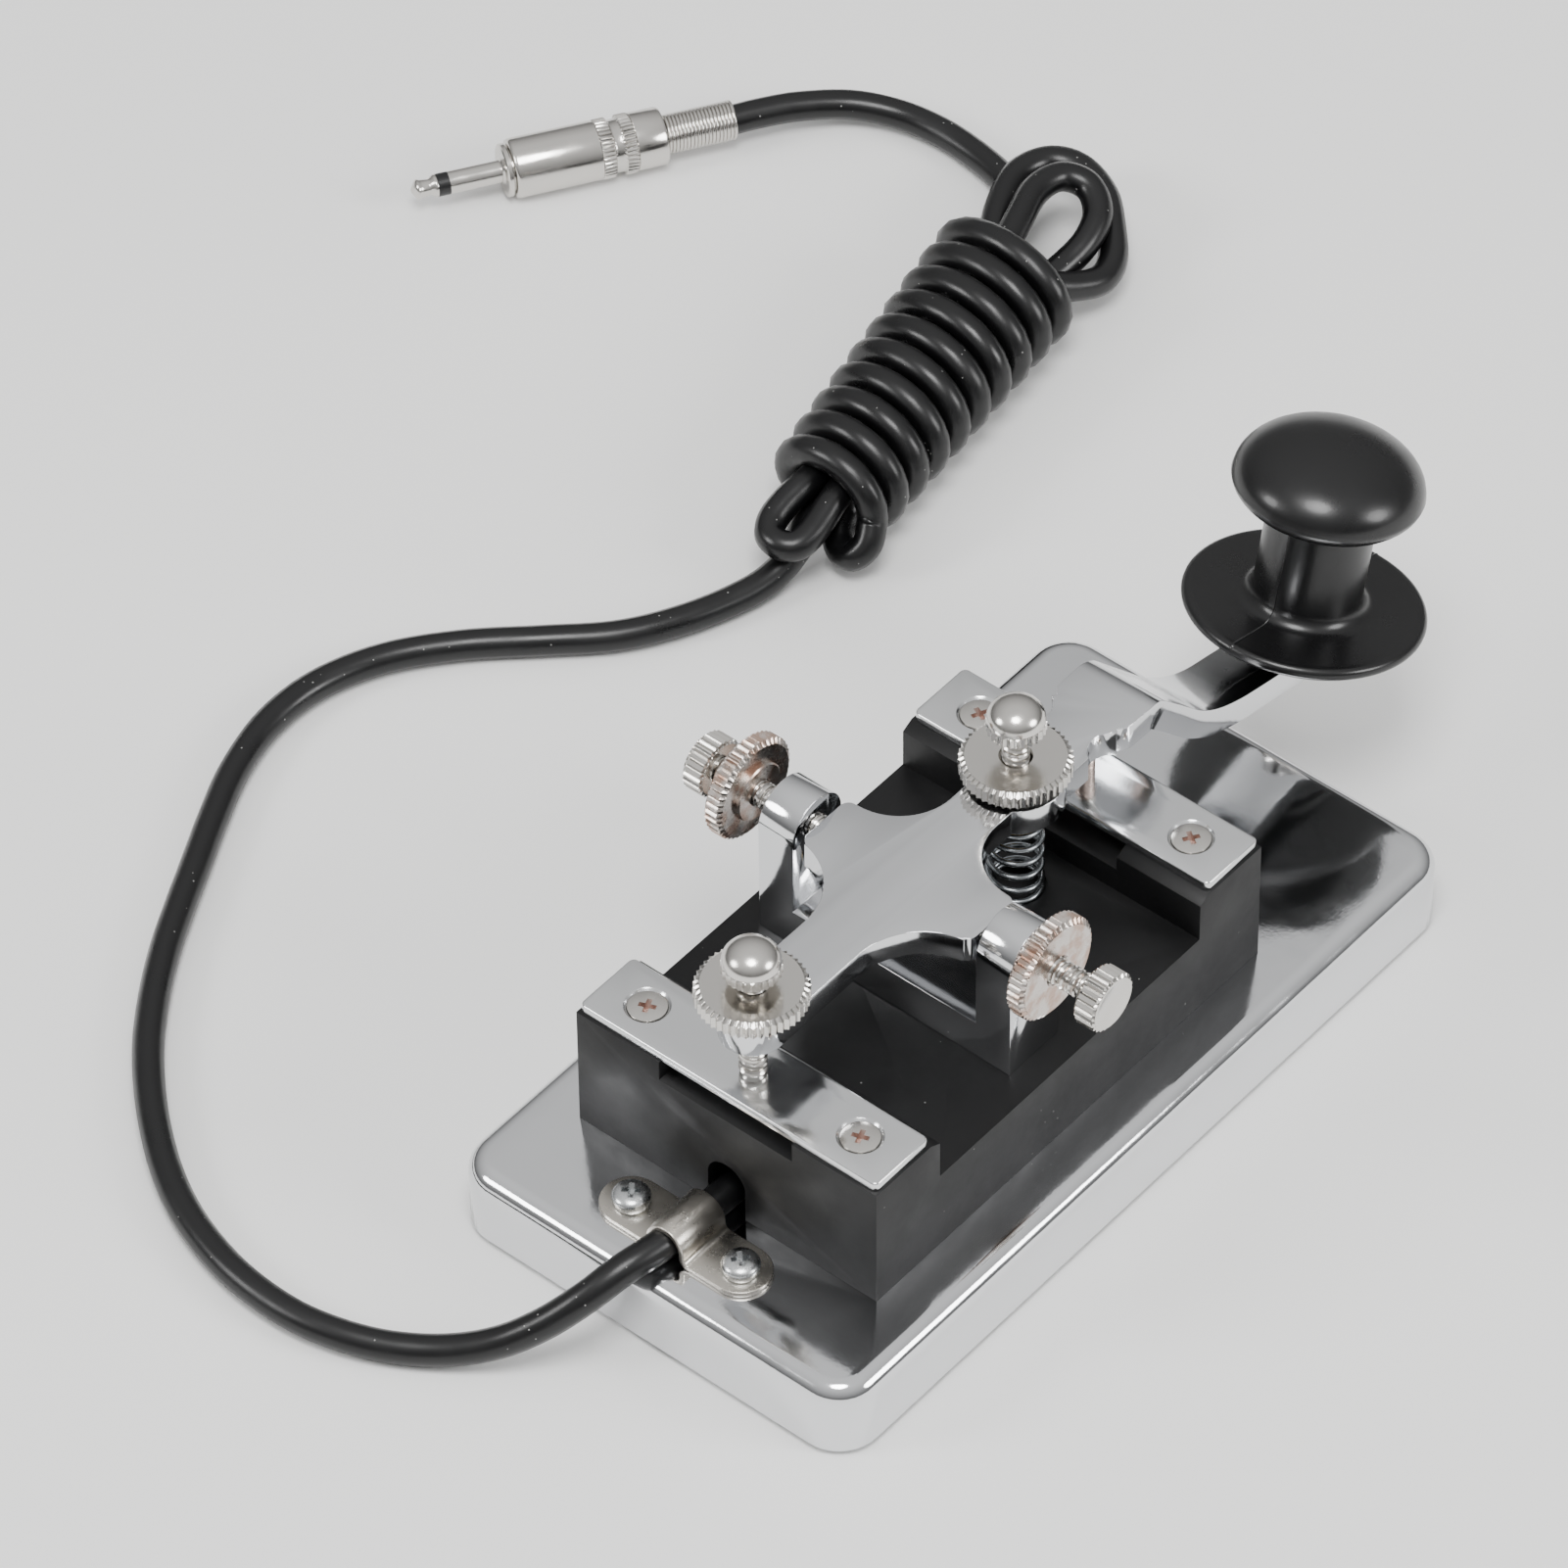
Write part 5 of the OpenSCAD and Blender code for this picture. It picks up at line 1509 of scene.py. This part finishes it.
    def build(self) -> None:
        """Builds and places both."""
        Piece("lever_body", self.body(), CHROME, "lever", "lever", ["lever"], 38).place()
        Piece("lever_contact_pin", self.contact(), SILVER, "lever", "silver", ["lever_contact"]).place()


@dataclass
class Knob:
    """Moulded knob: mushroom cap, waisted neck and finger-guard skirt, with the line left by its mould."""

    lever: Lever
    cap_r: float = 13.7
    line_h: float = 19.8
    dome_h: float = 7.4
    skirt_r: float = 17.5
    skirt_t: float = 2.0
    hub_r: float = 6.0
    hub_h: float = 3.4
    neck_r: float = 7.8
    seam: float = 0.1

    def profile(self) -> list[Point]:
        """Returns the knob's outline from its foot to the cap's crown."""
        h, top = self.hub_h, self.hub_h + self.skirt_t
        line = top + self.line_h
        under = [(self.cap_r * math.cos(math.radians(a)), line + 5 * math.sin(math.radians(a))) for a in range(-60, 1, 6)]
        over = [
            (self.cap_r * math.cos(math.radians(a)), line + self.dome_h * math.sin(math.radians(a)))
            for a in range(6, 90, 6)
        ]
        skirt = arc((self.skirt_r - 1, h + 1), 1, -80, 80, 8)
        fillet = arc((self.neck_r + 2.4, top + 2.4), 2.4, -90, -180, 8)
        return [
            (0, 0), (self.hub_r - 0.3, 0), (self.hub_r, 0.3), (self.hub_r, h - 0.5), (self.hub_r + 0.5, h),
            (self.skirt_r - 1.4, h), *skirt, (self.skirt_r - 1.6, top), *fillet,
            (self.neck_r, line - 6.2), (self.neck_r + 0.12, line - 5.0), *under[1:-1],
            (self.cap_r, line - 0.25), (self.cap_r + 0.05, line), (self.cap_r, line + 0.25), *over,
            (0, line + self.dome_h),
        ]

    def body(self) -> bpy.types.Mesh:
        """Returns the knob, leaning with the finger."""
        angles = [i * 4.0 for i in range(90)]
        for middle in (90.0, 270.0):
            angles = [a for a in angles if abs(a - middle) > 3] + [middle - 1.2, middle - 0.5, middle, middle + 0.5, middle + 1.2]
        angles.sort()
        bm = lathe(self.profile(), angles)
        for vert in bm.verts:
            below_cap = vert.co.z < self.hub_h + self.skirt_t + self.line_h - 4
            if abs(vert.co.x) < 0.02 and below_cap and self.hub_r < vert.co.xy.length < self.skirt_r - 0.2:
                away = vert.normal
                vert.co += Vector((away.x, away.y, away.z)) * self.seam
        mesh = mesh_from(bm, "knob_moulding")
        lean = Matrix.Rotation(math.radians(self.lever.finger_slope), 4, "X")
        foot = (0, self.lever.finger_y, self.lever.finger_top(self.lever.finger_y))
        mesh.transform(Matrix.Translation(foot) @ lean)
        return mesh

    def build(self) -> None:
        """Builds and places the knob."""
        Piece("knob_moulding", self.body(), KNOB_BLACK, "lever", "knob", ["knob"], 40).place()


# ---- Adjusting screws ----


class Way(Enum):
    """The directions in which the adjusting screws point."""

    UP = (0, 0, 1)
    LEFT = (-1, 0, 0)
    RIGHT = (1, 0, 0)


@dataclass
class Adjuster:
    """One adjusting screw: stud, thumb head and lock nut, each on its own body.

    Heights run outwards along the screw, from the middle of the lever for a trunnion and from the table if upright.
    """

    trees: dict[str, ShapeTree]
    name: str
    way: Way
    place: Point
    tip: float
    nut_at: float
    head_at: float
    head: ThumbHead
    finish: Finish
    nut_finish: Finish
    cone: float = 0.0

    def at(self, height: float) -> Matrix:
        """Returns the frame at a height along the screw."""
        return axis_frame(Vector(self.place) + Vector(self.way.value) * height, self.way.value)

    def build(self) -> None:
        """Builds and places the three pieces."""
        name = self.name
        stud = Stud(self.trees, cone=self.cone).mesh(
            name + "_stud_thread", self.finish, self.at(self.tip), self.head_at + 1.85 - self.tip)
        head = self.head.mesh(name + "_head_knurled", self.finish, self.at(self.head_at))
        nut = LockNut(self.trees).mesh(name + "_nut_knurled", self.nut_finish, self.at(self.nut_at))
        nut_slot = "thumb" if self.nut_finish is self.finish else "copper_nut"
        for mesh, part, slot, finish in (
            (stud, "stud", "thumb", self.finish), (head, "head", "thumb", self.finish),
            (nut, "nut", nut_slot, self.nut_finish),
        ):
            node = f"{name}_{part}"
            Piece(mesh.name, mesh, finish, node, slot, [node], 42).place()


@dataclass
class Tension:
    """Return spring between the block's floor and the cap on the tension screw's end."""

    trees: dict[str, ShapeTree]
    place: Point = (0, -12.2)
    radius: float = 3.75
    wire: float = 0.45
    turns: float = 7.0
    keep: float = 0.82
    spring: Span = field(default_factory=lambda: Span.of("tension_spring"))
    cap: Span = field(default_factory=lambda: Span.of("spring_cap"))

    def coil(self) -> bpy.types.Mesh:
        """Returns the spring, with its end turns closed."""
        low, high = self.spring.low.z + self.wire, self.spring.high.z - self.wire
        mesh = self.trees["coil"].grow(
            "tension_spring_coil", SPRING_STEEL, Turns=self.turns, Radius=self.radius, Height=high - low,
            Wire=self.wire, Flat_Turns=0.8, Flat_Share=0.1, Sides=12, Steps=40,
        )
        mesh.transform(Matrix.Translation((*self.place, low)))
        return mesh

    def cap_mesh(self) -> bpy.types.Mesh:
        """Returns the turned cap that seats the spring."""
        low, high = self.cap.low.z, self.cap.high.z
        profile = [(0, low), (2.8, low), (3.0, low + 0.2), (3.0, high - 1), (3.85, high - 1), (4.0, high - 0.85),
                   (4.0, high - 0.15), (3.85, high), (0, high)]
        mesh = mesh_from(lathe(profile, 48), "spring_cap_turned")
        mesh.transform(Matrix.Translation((*self.place, 0)))
        return mesh

    def build(self) -> None:
        """Builds both: the cap rides on the tension screw, and the spring on the base."""
        Piece("spring_cap_turned", self.cap_mesh(), BRASS, "tension_stud", "contact", ["spring_cap"]).place()
        coil = Piece("tension_spring_coil", self.coil(), SPRING_STEEL, "key_base", "spring", ["tension_spring"], 60)
        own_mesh(coil.place())


def dress_nodes(finishes: dict[str, Finish]) -> None:
    """Gives CAD nodes that stay in view, or hide inside, their own finish.

    Args:
        finishes: each node and its finish.
    """
    for node, finish in finishes.items():
        mesh_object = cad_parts[node]
        if not mesh_object.material_slots:
            mesh_object.data.materials.append(None)
        for slot in mesh_object.material_slots:
            slot.material = finish.material()
        LOG.info("%s keeps its CAD shape, in %s", node, finish.name)


def main() -> None:
    """Builds the key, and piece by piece."""
    logging.basicConfig(level=logging.INFO, format="%(name)s: %(message)s")
    View().build()
    trees: dict[str, ShapeTree] = {"coil": CoilTree(), "knurl": KnurlTree(), "screws": ScrewTree()}
    cord = Cord()
    cord_piece, cord_l = cord.build()
    plug_pieces = Plug(trees).build()
    Base().build()
    Block(trees).build()
    Clamp(trees).build()
    lever = Lever()
    lever.build()
    Knob(lever).build()
    domed, flat = ThumbHead(trees), ThumbHead(trees, 4.5, 3.5, 0.0, 28)
    pivot = (0, lever.pivot[0], lever.pivot[1])
    Adjuster(trees, "gap", Way.UP, (0, lever.gap_y, 0), 35.82, 49.15, 55.15, domed, NICKEL, NICKEL).build()
    Adjuster(trees, "tension", Way.UP, (0, lever.boss_y, 0), 42.9, 48.15, 56.95, domed, NICKEL, NICKEL).build()
    Adjuster(trees, "left", Way.LEFT, pivot, 12.88, 22.1, 31.9, flat, NICKEL, THIN_NICKEL, 2.4).build()
    Adjuster(trees, "right", Way.RIGHT, pivot, 12.88, 26.0, 32.9, flat, NICKEL, THIN_NICKEL, 2.4).build()
    Tension(trees).build()
    dress_nodes({
        "block_screws": ZINC, "bracket_screws": ZINC, "signal_lead": RED_PVC, "return_lead": WHITE_PVC,
        "knob_insert": BRASS, "knob_screw": NICKEL,
    })
    Studio().build()


if __name__ == "__main__":
    main()
